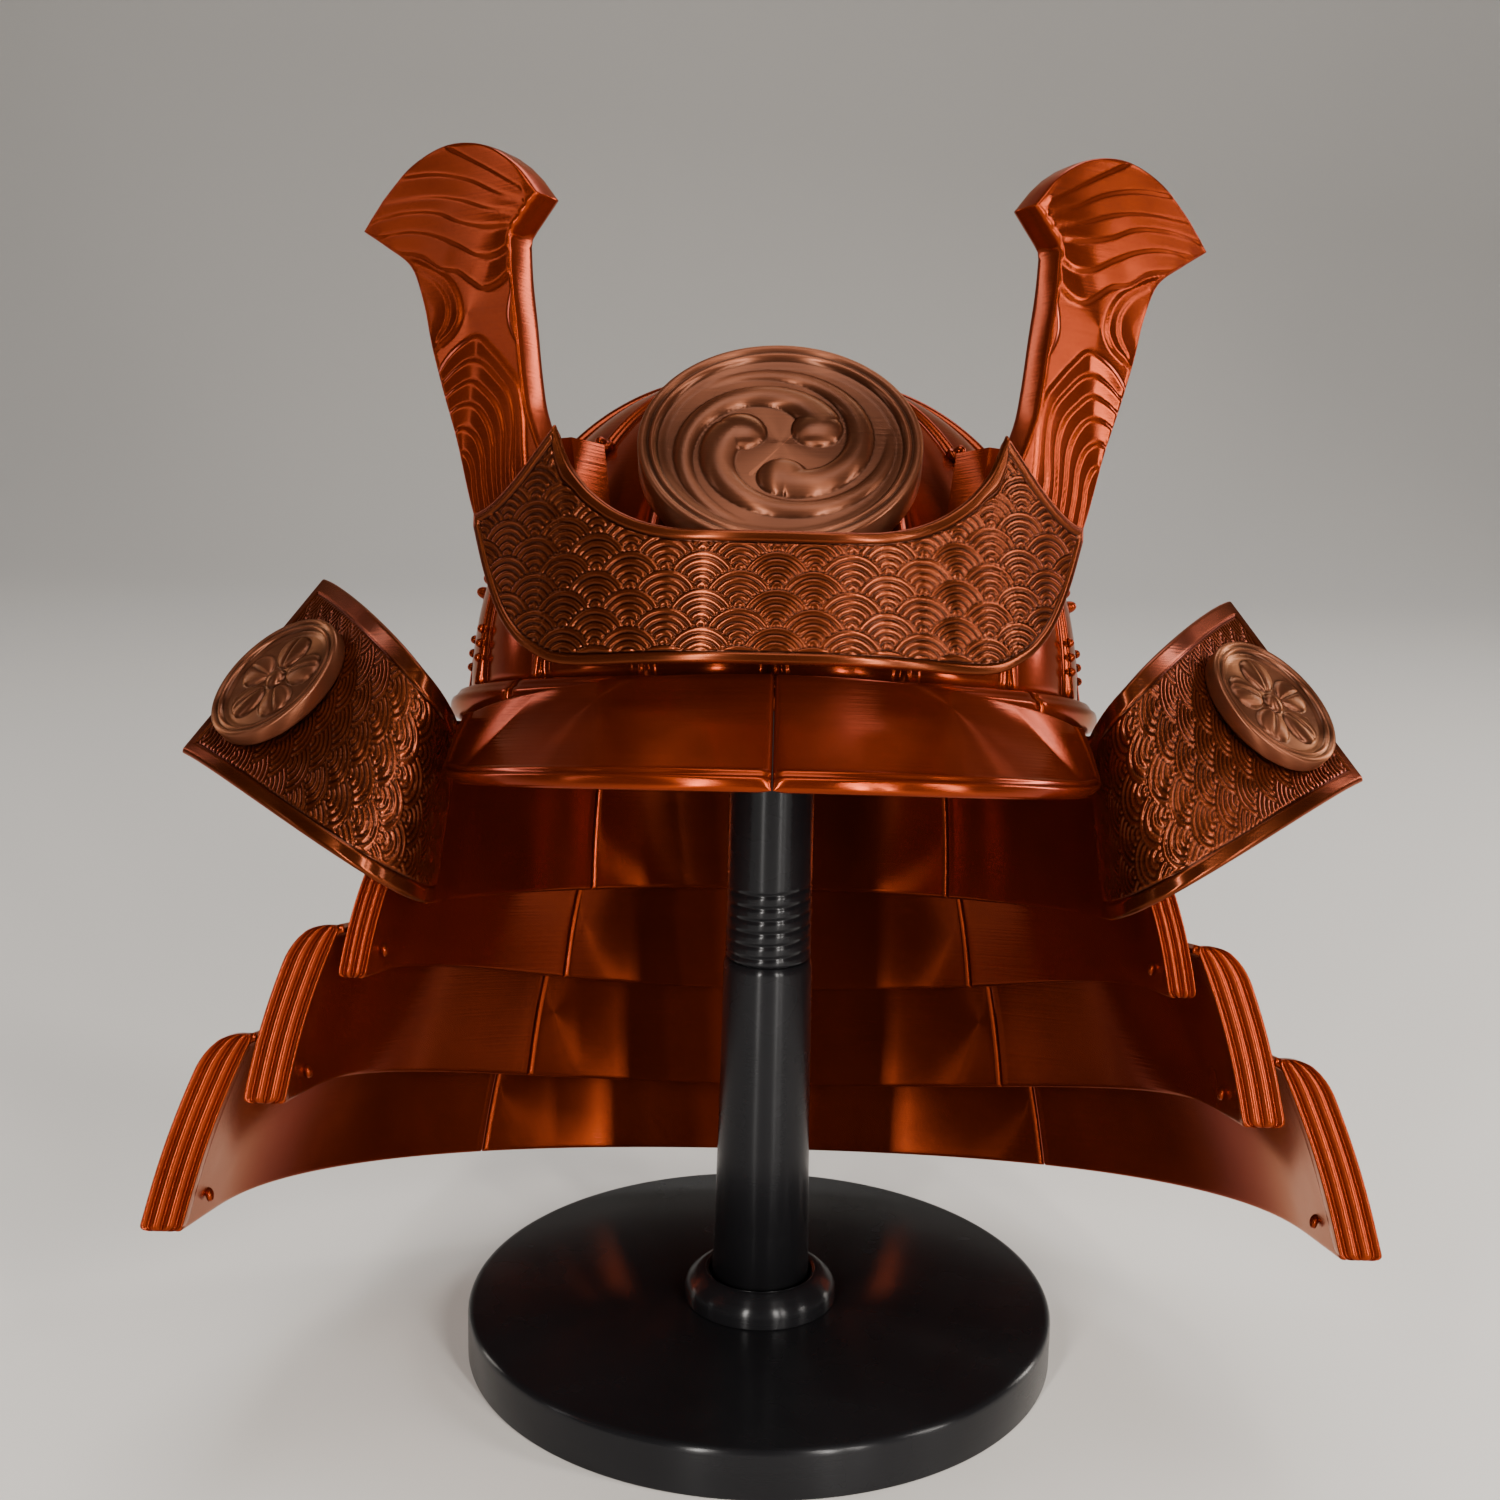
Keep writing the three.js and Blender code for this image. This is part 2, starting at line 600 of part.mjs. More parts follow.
const edgeCurve = (points) => new THREE.CubicBezierCurve3(...points.map((p) => new THREE.Vector3(...p)));
const WING_TOP = edgeCurve(WING.top);
const WING_BOTTOM = edgeCurve(WING.bottom);

/** A point of the turn-back's middle surface on the right side, along and across both 0 to 1. */
const wingPoint = (along, across) => WING_BOTTOM.getPoint(along).lerp(WING_TOP.getPoint(along), across);

/** The unit normal there, pointing forwards and outwards. */
function wingNormal(along, across) {
  const e = 0.01;
  const du = wingPoint(Math.min(along + e, 1), across).sub(wingPoint(Math.max(along - e, 0), across));
  const dv = wingPoint(along, 1).sub(wingPoint(along, 0));
  return dv.cross(du).normalize().multiplyScalar(-1);
}

function wing(sign) {
  const { border, relief, wall } = WING;
  const alongs = [0, border, border + 0.01, 0.17, 0.26, 0.33, 0.39, 0.46, 0.56, 0.75,
    0.99 - border, 1 - border, 1];
  const acrosses = [0, border, border + 0.01, 0.99 - border, 1 - border, 1];
  return sheet(alongs.length - 1, acrosses.length - 1, 1, (i, j, w) => {
    const framed = i > 1 && i < alongs.length - 2 && j > 1 && j < 4;
    const lift = w < 0.5 ? -wall / 2 : wall / 2 - (framed ? relief : 0);
    const point = wingPoint(alongs[i], acrosses[j]).addScaledVector(wingNormal(alongs[i], acrosses[j]), lift);
    point.x *= sign;
    return point;
  });
}

/** A round crest with a plain five-petal blossom in relief, standing on the turn-back's face. */
function wingCrest(sign) {
  const r = CREST.radius;
  const h = CREST.thick;
  const disc = lathe([[0, 0], [r, 0], [r, h - 1], [r - 1.2, h], [r - 3, h], [r - 4.2, h - 1.6],
    [0, h - 1.6]], 20);
  const petals = Array.from({ length: CREST.petals }, (_, i) =>
    new THREE.SphereGeometry(1, 8, 4)
      .scale(6, 5.2, 2.4)
      .translate(0, 12, h - 1.6)
      .rotateZ((i * 2 * Math.PI) / CREST.petals));
  const heart = new THREE.SphereGeometry(1, 6, 4).scale(3.6, 3.6, 2.6).translate(0, 0, h - 1.6);
  const at = wingPoint(CREST.along, CREST.across);
  const facing = wingNormal(CREST.along, CREST.across);
  const along = wingPoint(CREST.along, 1).sub(wingPoint(CREST.along, 0)).normalize();
  const across = along.clone().cross(facing).normalize();
  const turn = new THREE.Matrix4().makeBasis(across, facing.clone().cross(across), facing);
  const seat = at.addScaledVector(facing, WING.wall / 2 + GAP + 0.6);
  const placed = joined(disc, ...petals, heart).applyMatrix4(turn).translate(seat.x, seat.y, seat.z);
  return closed(placed.scale(sign, 1, 1));
}

// ---- Assembly --------------------------------------------------------------------------------

const root = new THREE.Group();
const helmet = new THREE.Group();
helmet.position.set(0, HELMET.y, HELMET.z);
helmet.rotation.x = -HELMET.lean;
root.add(helmet);

// The rest stops just under the inside of the leaning crown.
const crown = new THREE.Vector3(0, 0, BOWL.foot + BOWL.height - WALL)
  .applyAxisAngle(new THREE.Vector3(1, 0, 0), -HELMET.lean)
  .add(helmet.position);

root.add(
  mesh("stand_base", standBase(), black()),
  mesh("stand_collar", standCollar(), black()),
  mesh("post_lower", postLower(), black()),
  mesh("post_upper", postUpper(crown.z - 4), black()),
);

helmet.add(
  mesh("bowl", bowl(), copper()),
  mesh("rim_front", rimPiece(-RIM.seam, RIM.seam, 10), copper()),
  mesh("front_plate", frontPlate(), copper()),
  mesh("front_disc", frontDisc(), bronze()),
  mesh("disc_boss", discBoss(), bronze()),
);

for (const { name, sign } of SIDES) {
  helmet.add(
    mesh("rim_" + name, rimPiece(sign * (RIM.seam + 0.3), sign * 179.8, 14), copper()),
    mesh("brim_" + name, brimHalf(sign), copper()),
    mesh("horn_" + name, horn(sign), copper()),
    mesh("horn_socket_" + name, hornSocket(sign), copper()),
    mesh("wing_" + name, wing(sign), copper()),
    mesh("wing_crest_" + name, wingCrest(sign), bronze()),
  );
}

LAMES.forEach((lame, index) => {
  const number = index + 1;
  helmet.add(mesh("lame_" + number + "_back", lameBack(index), copper()));
  for (const { name, sign } of SIDES) {
    helmet.add(mesh("lame_" + number + "_" + name, lameSide(index, sign), copper()));
    if (lame.roll) helmet.add(mesh("rivet_" + number + "_" + name, rivet(index, sign), copper()));
  }
});

export default root;
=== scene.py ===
"""Looks for the kabuto samurai helmet on its round stand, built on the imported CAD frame.

Lengths in the shape functions are millimetres in the helmet's own frame, which leans back on the
stand. place_helmet() turns them into metres in the row frame.
"""

import math

import bmesh
import bpy
import numpy as np
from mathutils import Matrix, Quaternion, Vector


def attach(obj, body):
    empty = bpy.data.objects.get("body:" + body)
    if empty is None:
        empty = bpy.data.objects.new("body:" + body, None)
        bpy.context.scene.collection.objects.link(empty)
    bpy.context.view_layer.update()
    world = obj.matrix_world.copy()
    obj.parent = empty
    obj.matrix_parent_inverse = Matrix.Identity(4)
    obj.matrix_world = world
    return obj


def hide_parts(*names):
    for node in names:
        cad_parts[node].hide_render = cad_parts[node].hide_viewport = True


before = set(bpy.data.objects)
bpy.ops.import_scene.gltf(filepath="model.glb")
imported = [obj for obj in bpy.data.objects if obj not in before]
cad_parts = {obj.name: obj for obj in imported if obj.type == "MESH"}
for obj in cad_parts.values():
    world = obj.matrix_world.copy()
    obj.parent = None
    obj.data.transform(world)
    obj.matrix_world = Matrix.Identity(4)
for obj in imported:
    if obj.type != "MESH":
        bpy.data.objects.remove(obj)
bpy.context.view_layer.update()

# ---- Driving dimensions, in millimetres -------------------

LEAN = math.radians(17)
HELMET_AT = np.array([0.0, -38.0, 280.4])
WALL = 3.5
GAP = 0.3
SIDES = (("left", -1), ("right", 1))

BOWL = dict(half=110, front=129, back=132, foot=4, height=119, square=2.12, ribs=16)
RIB = dict(half=1.9, height=2.5, lobe=1.3)
SKIRT = dict(thick=0.7, low=-1.5)
STUD_LEVELS = (36, 80)
BEAD_LEVELS = (9, 14, 19)
FRONT_SECTOR = 62

RIM = dict(half=113, front=134, back=135, z=-2, radius=5.5, seam=48)

BRIM = dict(
    inner_half=120, inner_front=142, inner_top=3.3, inner_drop=12,
    outer_half=117, outer_front=185, outer_top=-33.5, outer_rise=3, length=150, slope=52,
)
BRIM_INNER = [0, 10, 20, 30, 39, 45, 52, 59]
BRIM_OUTER = [0, 17, 33, 48, 61, 64, 66.5, 69]
BRIM_REACH = [1, 1, 1, 1, 1, 0.99, 0.96, 0.88]

PLATE = dict(radius=140, centre_y=-20, wall=3.5, border=4.2, nose=1.2, foot=5.5)
PLATE_ANGLE = [0, 8, 14, 18.5, 23, 26.5, 29, 30.8, 33.5, 36.5, 39.5, 42.5, 45]
PLATE_LOW = [5.5, 5.5, 5.3, 5, 4.6, 4.6, 5.1, 6, 8.8, 13.4, 21.5, 35, 50.5]
PLATE_HIGH = [46.7, 46.8, 47.6, 50.2, 55.6, 62.6, 70.6, 81, 74, 66.6, 60.6, 56.6, 55]
PLATE_SCALE = dict(radius=11.6, rings=5, depth=0.42)

HORN = dict(turn=math.radians(34), distance=150.4, thick=12)
DISC = dict(y=-126, z=80, lift=math.radians(37), radius=45.8, thick=12)
COMMA = dict(turn=34, head_at=14.2, head=8.6, reach=36.5, sweep=220, height=3.0)

LAMES = [
    dict(top=-8.2, bottom=-74, half=(115, 121), back=(138, 146), sag=0, drop=-4, end=30, roll=0),
    dict(top=-47, bottom=-100, half=(126, 140.6), back=(151, 164), sag=14, drop=14, end=51, roll=6),
    dict(top=-81, bottom=-144, half=(149, 166.5), back=(171, 187), sag=14, drop=14, end=55, roll=11),
    dict(top=-119.5, bottom=-189, half=(178, 201), back=(197, 213), sag=1, drop=1, end=55, roll=11),
]
LAME = dict(seam=55, square=2.3, bulge=2, roll_length=13, roll_corner=13, flutes=3, flute_depth=1.7)
SHELF = dict(half=1.6, bend=3.2, under_rim=8.0)
LAME_END = -20  # plan angle that stands for a lame's front end
RIVET = dict(radius=2.6, height=1.8, up=9)

WING_TOP = [(113.6, -31, -10.5), (101.6, -155, 1.4), (157.3, -12, 41.4), (168.4, 2.3, 44.4)]
WING_BOTTOM = [(121, -31, -73), (108.3, -162, -75.8), (192.7, -59.5, -27.6), (208.4, -43, -22.4)]
WING = dict(wall=3.0, nose=1.3, outer=6.5, top=8.2, bottom=6.5)
WING_SCALE = dict(radius=11.5, rings=5, depth=0.4)
CREST = dict(radius=27, thick=6.5, along=0.75, across=0.47)
PETAL = dict(count=5, at=12.2, half_length=7.2, half_width=5.2, widening=0.14, height=2.1)

STAND = dict(base_radius=120, base_height=21, collar_radius=31, collar_top=34, joint=170, rest=390.7)
POST = dict(foot=20, below_joint=17.7, above_joint=17.1, top=16)
THREAD = dict(low=172, high=206, pitch=5.2, depth=0.6)

# ---- Frames and small helpers -----------------------------


def place_helmet(p):
    """Millimetres in the helmet's frame to metres in the row frame."""
    c, s = math.cos(LEAN), math.sin(LEAN)
    x, y, z = p[..., 0], p[..., 1], p[..., 2]
    turned = np.stack([x, y * c + z * s, z * c - y * s], axis=-1)
    return (turned + HELMET_AT) / 1000


def place_stand(p):
    return p / 1000


def unit(v):
    return v / np.maximum(np.linalg.norm(v, axis=-1, keepdims=True), 1e-9)


def smooth(a, b, x):
    t = np.clip((x - a) / (b - a), 0, 1)
    return t * t * (3 - 2 * t)


def lerp(a, b, t):
    return a + (b - a) * t


def spaced(total, step, edge):
    """Positions 0 to total, close together near both ends, where the edge is rounded."""
    turns = np.linspace(0, math.pi / 2, 6)
    low = edge * (1 - np.cos(turns))
    count = max(2, int((total - 2 * edge) / step) + 1)
    middle = np.linspace(edge, total - edge, count)[1:-1]
    return np.concatenate([low, middle, total - low[::-1]])


def rounding(at, total, edge):
    """Share of the full thickness at a distance along, with a round nose at both ends."""
    near = np.clip(np.minimum(at, total - at), 0, edge)
    return np.sqrt(np.clip(1 - ((edge - near) / edge) ** 2, 0, 1))


def hermite(xs, ys, x):
    """A smooth curve through a short list of points."""
    xs, ys = np.asarray(xs, float), np.asarray(ys, float)
    slope = np.gradient(ys, xs)
    i = np.clip(np.searchsorted(xs, x) - 1, 0, len(xs) - 2)
    h = xs[i + 1] - xs[i]
    t = (x - xs[i]) / h
    return (
        (2 * t**3 - 3 * t**2 + 1) * ys[i]
        + (t**3 - 2 * t**2 + t) * h * slope[i]
        + (3 * t**2 - 2 * t**3) * ys[i + 1]
        + (t**3 - t**2) * h * slope[i + 1]
    )


def bezier(points, t):
    a, b, c, d = (np.array(p, float) for p in points)
    t = np.asarray(t, float)[..., None]
    return a * (1 - t) ** 3 + 3 * b * t * (1 - t) ** 2 + 3 * c * t**2 * (1 - t) + d * t**3


def path_points(points, count):
    """Evenly spaced points along a smooth curve through the given ones."""
    points = np.array(points, float)
    steps = np.concatenate([[0], np.cumsum(np.linalg.norm(np.diff(points, axis=0), axis=1))])
    at = np.linspace(0, steps[-1], count)
    return np.stack([hermite(steps, points[:, k], at) for k in range(points.shape[1])], axis=-1)


# ---- Meshes -----------------------------------------------


class Body:
    """Vertices and faces collected from several grids."""

    def __init__(self):
        self.points = []
        self.faces = []
        self.count = 0

    def add(self, points, faces):
        self.points.append(np.asarray(points, float).reshape(-1, 3))
        self.faces.extend((np.asarray(f) + self.count).tolist() for f in faces)
        self.count += len(self.points[-1])

    def vertices(self):
        return np.concatenate(self.points)


def grid_faces(index, flip=False):
    """Quads over a grid of vertex numbers."""
    a, b = index[:-1, :-1], index[1:, :-1]
    c, d = index[1:, 1:], index[:-1, 1:]
    return np.stack([a, d, c, b] if flip else [a, b, c, d], axis=-1).reshape(-1, 4)


def tidy_faces(faces):
    """Drops repeated corners, so a quad on a pole or a closed edge becomes a triangle."""
    made = []
    for corners in faces:
        face = [v for k, v in enumerate(corners) if v != corners[k - 1]]
        if len(face) > 2:
            made.append(face)
    return made


def thinned(count, keep, stride):
    """Row numbers for a coarser grid that keeps the dense rows near both ends."""
    middle = list(range(keep, count - keep, stride))
    return sorted({*range(keep), *middle, *range(count - keep, count)})


def coarse_faces(index, stride):
    """Large faces over a grid, meeting every vertex of its border."""
    ni, nj = index.shape
    rows, columns = thinned(ni, 6, stride), thinned(nj, 6, stride)
    faces = []
    for i0, i1 in zip(rows[:-1], rows[1:]):
        for j0, j1 in zip(columns[:-1], columns[1:]):
            low = range(i0, i1) if j0 == 0 else [i0]
            far = range(j0, j1) if i1 == ni - 1 else [j0]
            high = range(i1, i0, -1) if j1 == nj - 1 else [i1]
            near = range(j1, j0, -1) if i0 == 0 else [j1]
            face = [index[i, j0] for i in low] + [index[i1, j] for j in far]
            face += [index[i, j1] for i in high] + [index[i0, j] for j in near]
            faces.append(face[::-1])
    return faces


def add_shell(body, top, bottom, stride=1):
    """A closed shell whose top and bottom grids meet along their border; the bottom may be coarser."""
    ni, nj = top.shape[:2]
    upper = np.arange(ni * nj).reshape(ni, nj)
    lower = upper.copy()
    inside = np.zeros((ni, nj), bool)
    inside[1:-1, 1:-1] = True
    lower[inside] = ni * nj + np.arange(inside.sum())
    points = np.concatenate([top.reshape(-1, 3), bottom[inside]])
    under = grid_faces(lower, flip=True) if stride == 1 else coarse_faces(lower, stride)
    body.add(points, [*grid_faces(upper), *under])


def grid_normals(p):
    du = np.gradient(p, axis=0)
    dv = np.gradient(p, axis=1)
    return unit(np.cross(du, dv))


def add_curved_sheet(body, middle, thickness, toward=None, relief=None, stride=1):
    """A sheet round a middle surface. relief is added to the face that looks the way of toward."""
    n = grid_normals(middle)
    if toward is not None and np.sum(n * np.asarray(toward)) < 0:
        n = -n
    half = thickness[..., None] / 2
    lift = 0 if relief is None else relief[..., None] * np.clip(thickness[..., None], 0, 1)
    add_shell(body, middle + n * (half + lift), middle - n * half, stride)


def add_tube_grid(body, rings, cap_start=True, cap_end=True):
    """Closed loops joined one to the next, with flat caps."""
    n, m = rings.shape[:2]
    index = np.arange(n * m).reshape(n, m)
    index = np.concatenate([index, index[:, :1]], axis=1)
    faces = grid_faces(index).tolist()
    if cap_start:
        faces.append(index[0, :-1].tolist())
    if cap_end:
        faces.append(index[-1, :-1][::-1].tolist())
    body.add(rings, faces)


def add_lathe(body, profile, sides, matrix=None, ripple=None):
    """A turned profile of (radius, height) pairs that starts and ends on the axis."""
    profile = np.array(profile, float)
    turns = np.linspace(0, 2 * math.pi, sides, endpoint=False)
    r = np.repeat(profile[:, :1], sides, axis=1)
    z = np.repeat(profile[:, 1:], sides, axis=1)
    if ripple is not None:
        r = ripple(r, z, turns[None, :])
    rings = np.stack([r * np.cos(turns), r * np.sin(turns), z], axis=-1)
    if matrix is not None:
        rings = matrix(rings)
    add_tube_grid(body, rings)


def rounded_profile(corners, steps=5):
    """(radius, height, rounding) corners into a profile with round corners."""
    made = []
    for i, (r, z, e) in enumerate(corners):
        here = np.array([r, z], float)
        if not e or i in (0, len(corners) - 1):
            made.append(here)
            continue
        before = unit(np.array(corners[i - 1][:2], float) - here)
        after = unit(np.array(corners[i + 1][:2], float) - here)
        for t in np.linspace(0, 1, steps):
            a, b = here + before * e, here + after * e
            made.append(a * (1 - t) ** 2 + 2 * here * t * (1 - t) + b * t**2)
    return np.array(made)


MATERIALS = {}


def piece(name, body, place, material, node):
    """One visible mesh that stands for a CAD node."""
    mesh = bpy.data.meshes.new(name)
    mesh.from_pydata(place(body.vertices()).tolist(), [], tidy_faces(body.faces))
    mesh.validate()
    mesh.update()
    made = bpy.data.objects.new(name, mesh)
    bpy.context.scene.collection.objects.link(made)
    make_outward(made)
    mesh.materials.append(MATERIALS[material])
    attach(made, "root")
    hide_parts(node)


def helmet_piece(node, body, material="copper"):
    """A piece of the helmet, named after the node that it stands for."""
    piece(node + "_look", body, place_helmet, material, node)


def make_outward(made):
    """Welds a mesh, turns every face outwards and shades it smooth."""
    work = bmesh.new()
    work.from_mesh(made.data)
    bmesh.ops.remove_doubles(work, verts=work.verts, dist=1e-6)
    bmesh.ops.delete(work, geom=[v for v in work.verts if not v.link_faces], context="VERTS")
    bmesh.ops.recalc_face_normals(work, faces=work.faces)
    work.to_mesh(made.data)
    work.free()
    made.data.polygons.foreach_set("use_smooth", [True] * len(made.data.polygons))


# ---- Patterns ---------------------------------------------


def wave_scales(u, v, radius, rings, depth):
    """Overlapping fans of concentric arcs: row on row, each lower fan in front of the higher ones."""
    pitch = radius / 2
    best = np.full(u.shape, np.inf)
    row0 = np.floor(v / pitch)
    for step in (-2, -1, 0, 1, 2):
        row = row0 + step
        shift = np.where(row % 2 == 0, 0.0, radius)
        centre = np.round((u - shift) / (2 * radius)) * 2 * radius + shift
        away = np.hypot(u - centre, v - row * pitch)
        free = np.isinf(best) & (away <= radius)
        best = np.where(free, away, best)
    inward = np.where(np.isinf(best), 0, (radius - best) / radius) * rings
    wave = 0.5 - 0.5 * np.cos(2 * math.pi * inward)
    # Flat-topped ridges with round grooves between them.
    return depth * (smooth(0.05, 0.62, wave) - 0.6)


def shingle(a, z, paths, height, length, side=1):
    """Overlapping steps: each path is a rounded edge, and the surface ramps up to it from one side."""
    lift = np.zeros(a.shape)
    for points in paths:
        line = path_points(points, 40)
        start, end = line[:-1], line[1:]
        best = np.full(a.shape, np.inf)
        facing = np.zeros(a.shape)
        for p, q in zip(start, end):
            d = q - p
            t = np.clip(((a - p[0]) * d[0] + (z - p[1]) * d[1]) / (d @ d), 0, 1)
            dx, dz = a - (p[0] + t * d[0]), z - (p[1] + t * d[1])
            away = np.hypot(dx, dz)
            closer = away < best
            best = np.where(closer, away, best)
            facing = np.where(closer, d[0] * dz - d[1] * dx, facing)
        past = best * np.where(facing * side > 0, 1, -1)
        ramp = np.clip(1 - np.maximum(past - 0.8, 0) / length, 0, 1) ** 1.2
        lift = np.maximum(lift, height * ramp * smooth(-1.2, 1.2, past))
    return lift


# ---- Materials --------------------------------------------


def node(tree, kind, **inputs):
    """A new node with the named inputs set; an underscore stands for a space."""
    made = tree.nodes.new(kind)
    for name, value in inputs.items():
        made.inputs[name.replace("_", " ")].default_value = value
    return made


def multiply_add(tree, value, factor, offset):
    """value * factor + offset, where offset is a number or another node's output."""
    made = tree.nodes.new("ShaderNodeMath")
    made.operation = "MULTIPLY_ADD"
    tree.links.new(value, made.inputs[0])
    made.inputs[1].default_value = factor
    if isinstance(offset, bpy.types.NodeSocket):
        tree.links.new(offset, made.inputs[2])
    else:
        made.inputs[2].default_value = offset
    return made.outputs["Value"]


def printed(name, dark, light, metallic, roughness, tint, lean=0.0, edge=0.35, layer=0.25):
    """Silk-finish printed plastic: thin layer lines, cloudy sheen, painted shade in the hollows and a painted
    highlight on the ridges.
    """
    material = bpy.data.materials.new(name)
    material.use_nodes = True
    tree = material.node_tree
    link = tree.links.new
    shader = tree.nodes["Principled BSDF"]
    shader.inputs["Metallic"].default_value = metallic
    shader.inputs["Specular Tint"].default_value = (*tint, 1)
    shader.inputs["Coat Weight"].default_value = 0.04
    shader.inputs["Coat Roughness"].default_value = 0.18
    # Horizontal layer lines smear a highlight up and down.
    shader.inputs["Anisotropic"].default_value = 0.9
    shader.inputs["Anisotropic Rotation"].default_value = 0.25
    where = tree.nodes.new("ShaderNodeTexCoord")
    turn = tree.nodes.new("ShaderNodeMapping")
    turn.inputs["Rotation"].default_value = (lean, 0, 0)
    link(where.outputs["Object"], turn.inputs["Vector"])
    flat = tree.nodes.new("ShaderNodeMapping")
    flat.inputs["Scale"].default_value = (14, 14, 1500)
    link(turn.outputs["Vector"], flat.inputs["Vector"])
    layers = node(tree, "ShaderNodeTexNoise", Scale=1.0, Detail=2.0, Roughness=0.6)
    link(flat.outputs["Vector"], layers.inputs["Vector"])
    cloud = node(tree, "ShaderNodeTexNoise", Scale=22.0, Detail=3.0, Roughness=0.55)
    link(turn.outputs["Vector"], cloud.inputs["Vector"])
    # Pointiness darkens the base colour in hollows and lightens it on ridges: painted shade and painted
    # highlight, as strong as edge.
    geometry = tree.nodes.new("ShaderNodeNewGeometry")
    hollow_shade_ridge_light = node(tree, "ShaderNodeMapRange", From_Min=0.44, From_Max=0.56)
    link(geometry.outputs["Pointiness"], hollow_shade_ridge_light.inputs["Value"])
    cloudy = multiply_add(tree, cloud.outputs["Fac"], 0.55, 0.08 - edge / 2)
    painted_relief_light = multiply_add(tree, hollow_shade_ridge_light.outputs["Result"], edge, cloudy)
    share = multiply_add(tree, layers.outputs["Fac"], layer, painted_relief_light)
    colour = tree.nodes.new("ShaderNodeMix")
    colour.data_type = "RGBA"
    colour.inputs["A"].default_value = (*dark, 1)
    colour.inputs["B"].default_value = (*light, 1)
    link(share, colour.inputs["Factor"])
    link(colour.outputs["Result"], shader.inputs["Base Color"])
    dull = node(tree, "ShaderNodeMapRange", To_Min=roughness - 0.06, To_Max=roughness + 0.1)
    link(cloud.outputs["Fac"], dull.inputs["Value"])
    link(dull.outputs["Result"], shader.inputs["Roughness"])
    bump = node(tree, "ShaderNodeBump", Strength=0.22, Distance=0.0002)
    link(layers.outputs["Fac"], bump.inputs["Height"])
    link(bump.outputs["Normal"], shader.inputs["Normal"])
    MATERIALS[name] = material
    return shader


COPPER_TINT = (1.0, 0.50, 0.30)
printed("copper", (0.050, 0.0042, 0.0007), (0.24, 0.027, 0.0036), 0.74, 0.21, COPPER_TINT, LEAN)
# The plate material is the copper print darkened as painted shade for the fine relief, with strong painted
# shade in hollows and painted highlight on ridges.
printed("plate", (0.009, 0.0013, 0.0004), (0.130, 0.024, 0.0066), 0.78, 0.24, COPPER_TINT, LEAN, edge=1.1)
printed("bronze", (0.012, 0.0038, 0.0020), (0.165, 0.052, 0.026), 0.74, 0.34, (1.0, 0.62, 0.42), LEAN,
        edge=0.8)
black = printed("black", (0.003, 0.003, 0.0035), (0.009, 0.009, 0.0105), 0.0, 0.24, (0.6, 0.62, 0.66),
                edge=0.2)
black.inputs["Specular IOR Level"].default_value = 0.3

# ---- Stand ------------------------------------------------


def stand_pieces():
    """The base, the collar and the two sections of the post, all turned about one axis."""
    r, h = STAND["base_radius"], STAND["base_height"]
    base = Body()
    add_lathe(base, rounded_profile([(0, 0, 0), (r, 0, 1.2), (r, h, 3.2), (0, h, 0)], 7), 180)
    piece("base_look", base, place_stand, "black", "stand_base")

    cr, top, bore = STAND["collar_radius"], STAND["collar_top"], POST["foot"] + GAP
    collar = Body()
    profile = rounded_profile(
        [(0, h + GAP, 0), (cr, h + GAP, 0.6), (cr, top - 5.5, 3), (cr - 6, top, 3), (bore + 1.2, top, 1.2),
         (bore, top - 2, 0.5), (bore, h + 1.5, 0), (0, h + 1.5, 0)], 7)
    add_lathe(collar, profile, 128)
    piece("collar_look", collar, place_stand, "black", "stand_collar")

    joint, below = STAND["joint"], POST["below_joint"]
    lower = Body()
    corners = [(0, h + 2, 0), (POST["foot"], h + 2, 0), (18.6, 90, 0), (below, joint - 1.8, 1.2),
               (below - 1.4, joint, 0.6), (0, joint, 0)]
    add_lathe(lower, rounded_profile(corners, 5), 96)
    piece("post_lower_look", lower, place_stand, "black", "post_lower")

    start, above = joint + GAP, POST["above_joint"]

    def thread(radius, z, turns):
        phase = (z - start) / THREAD["pitch"] - turns / (2 * math.pi)
        inside = smooth(joint + 0.5, joint + 4, z) * (1 - smooth(joint + 31, joint + 34, z)) * (radius > 10)
        groove = 0.5 + 0.5 * np.cos(2 * math.pi * phase)
        return radius - THREAD["depth"] * inside * groove**3

    upper = Body()
    low = [(0, start), (above - 0.9, start), (above, joint + 1.4)]
    heights = np.linspace(THREAD["low"], THREAD["high"], 110)
    threaded = [(above - 0.3 * (z - joint - 1) / 34, z) for z in heights]
    rest = STAND["rest"]
    shoulder = rest - 12.8
    crown = [(POST["top"] * math.cos(t), lerp(shoulder, rest, math.sin(t)))
             for t in np.linspace(0, math.pi / 2, 10)]
    add_lathe(upper, [*low, *threaded, *crown[:-1], (0, rest)], 96, ripple=thread)
    piece("post_upper_look", upper, place_stand, "black", "post_upper")


stand_pieces()

# ---- Bowl -------------------------------------------------


def bowl_point(turn, rise, offset):
    """A point of the dome: turn in degrees from the front, rise from 0 at the foot to 1 at the top."""
    turn, rise, offset = np.broadcast_arrays(turn, rise, offset)
    t, r = np.radians(turn), np.radians(rise * 90)
    out = np.clip(np.cos(r), 0, 1) ** (2 / BOWL["square"])
    depth = np.where(np.cos(t) > 0, BOWL["front"], BOWL["back"])
    return np.stack([
        (BOWL["half"] + offset) * np.sin(t) * out,
        -(depth + offset) * np.cos(t) * out,
        BOWL["foot"] + (BOWL["height"] + offset) * np.sin(r) ** (2 / BOWL["square"]),
    ], axis=-1)


def bowl_rise(height):
    """The rise at which the dome reaches a height above its foot."""
    return math.degrees(math.asin((height / BOWL["height"]) ** (BOWL["square"] / 2))) / 90


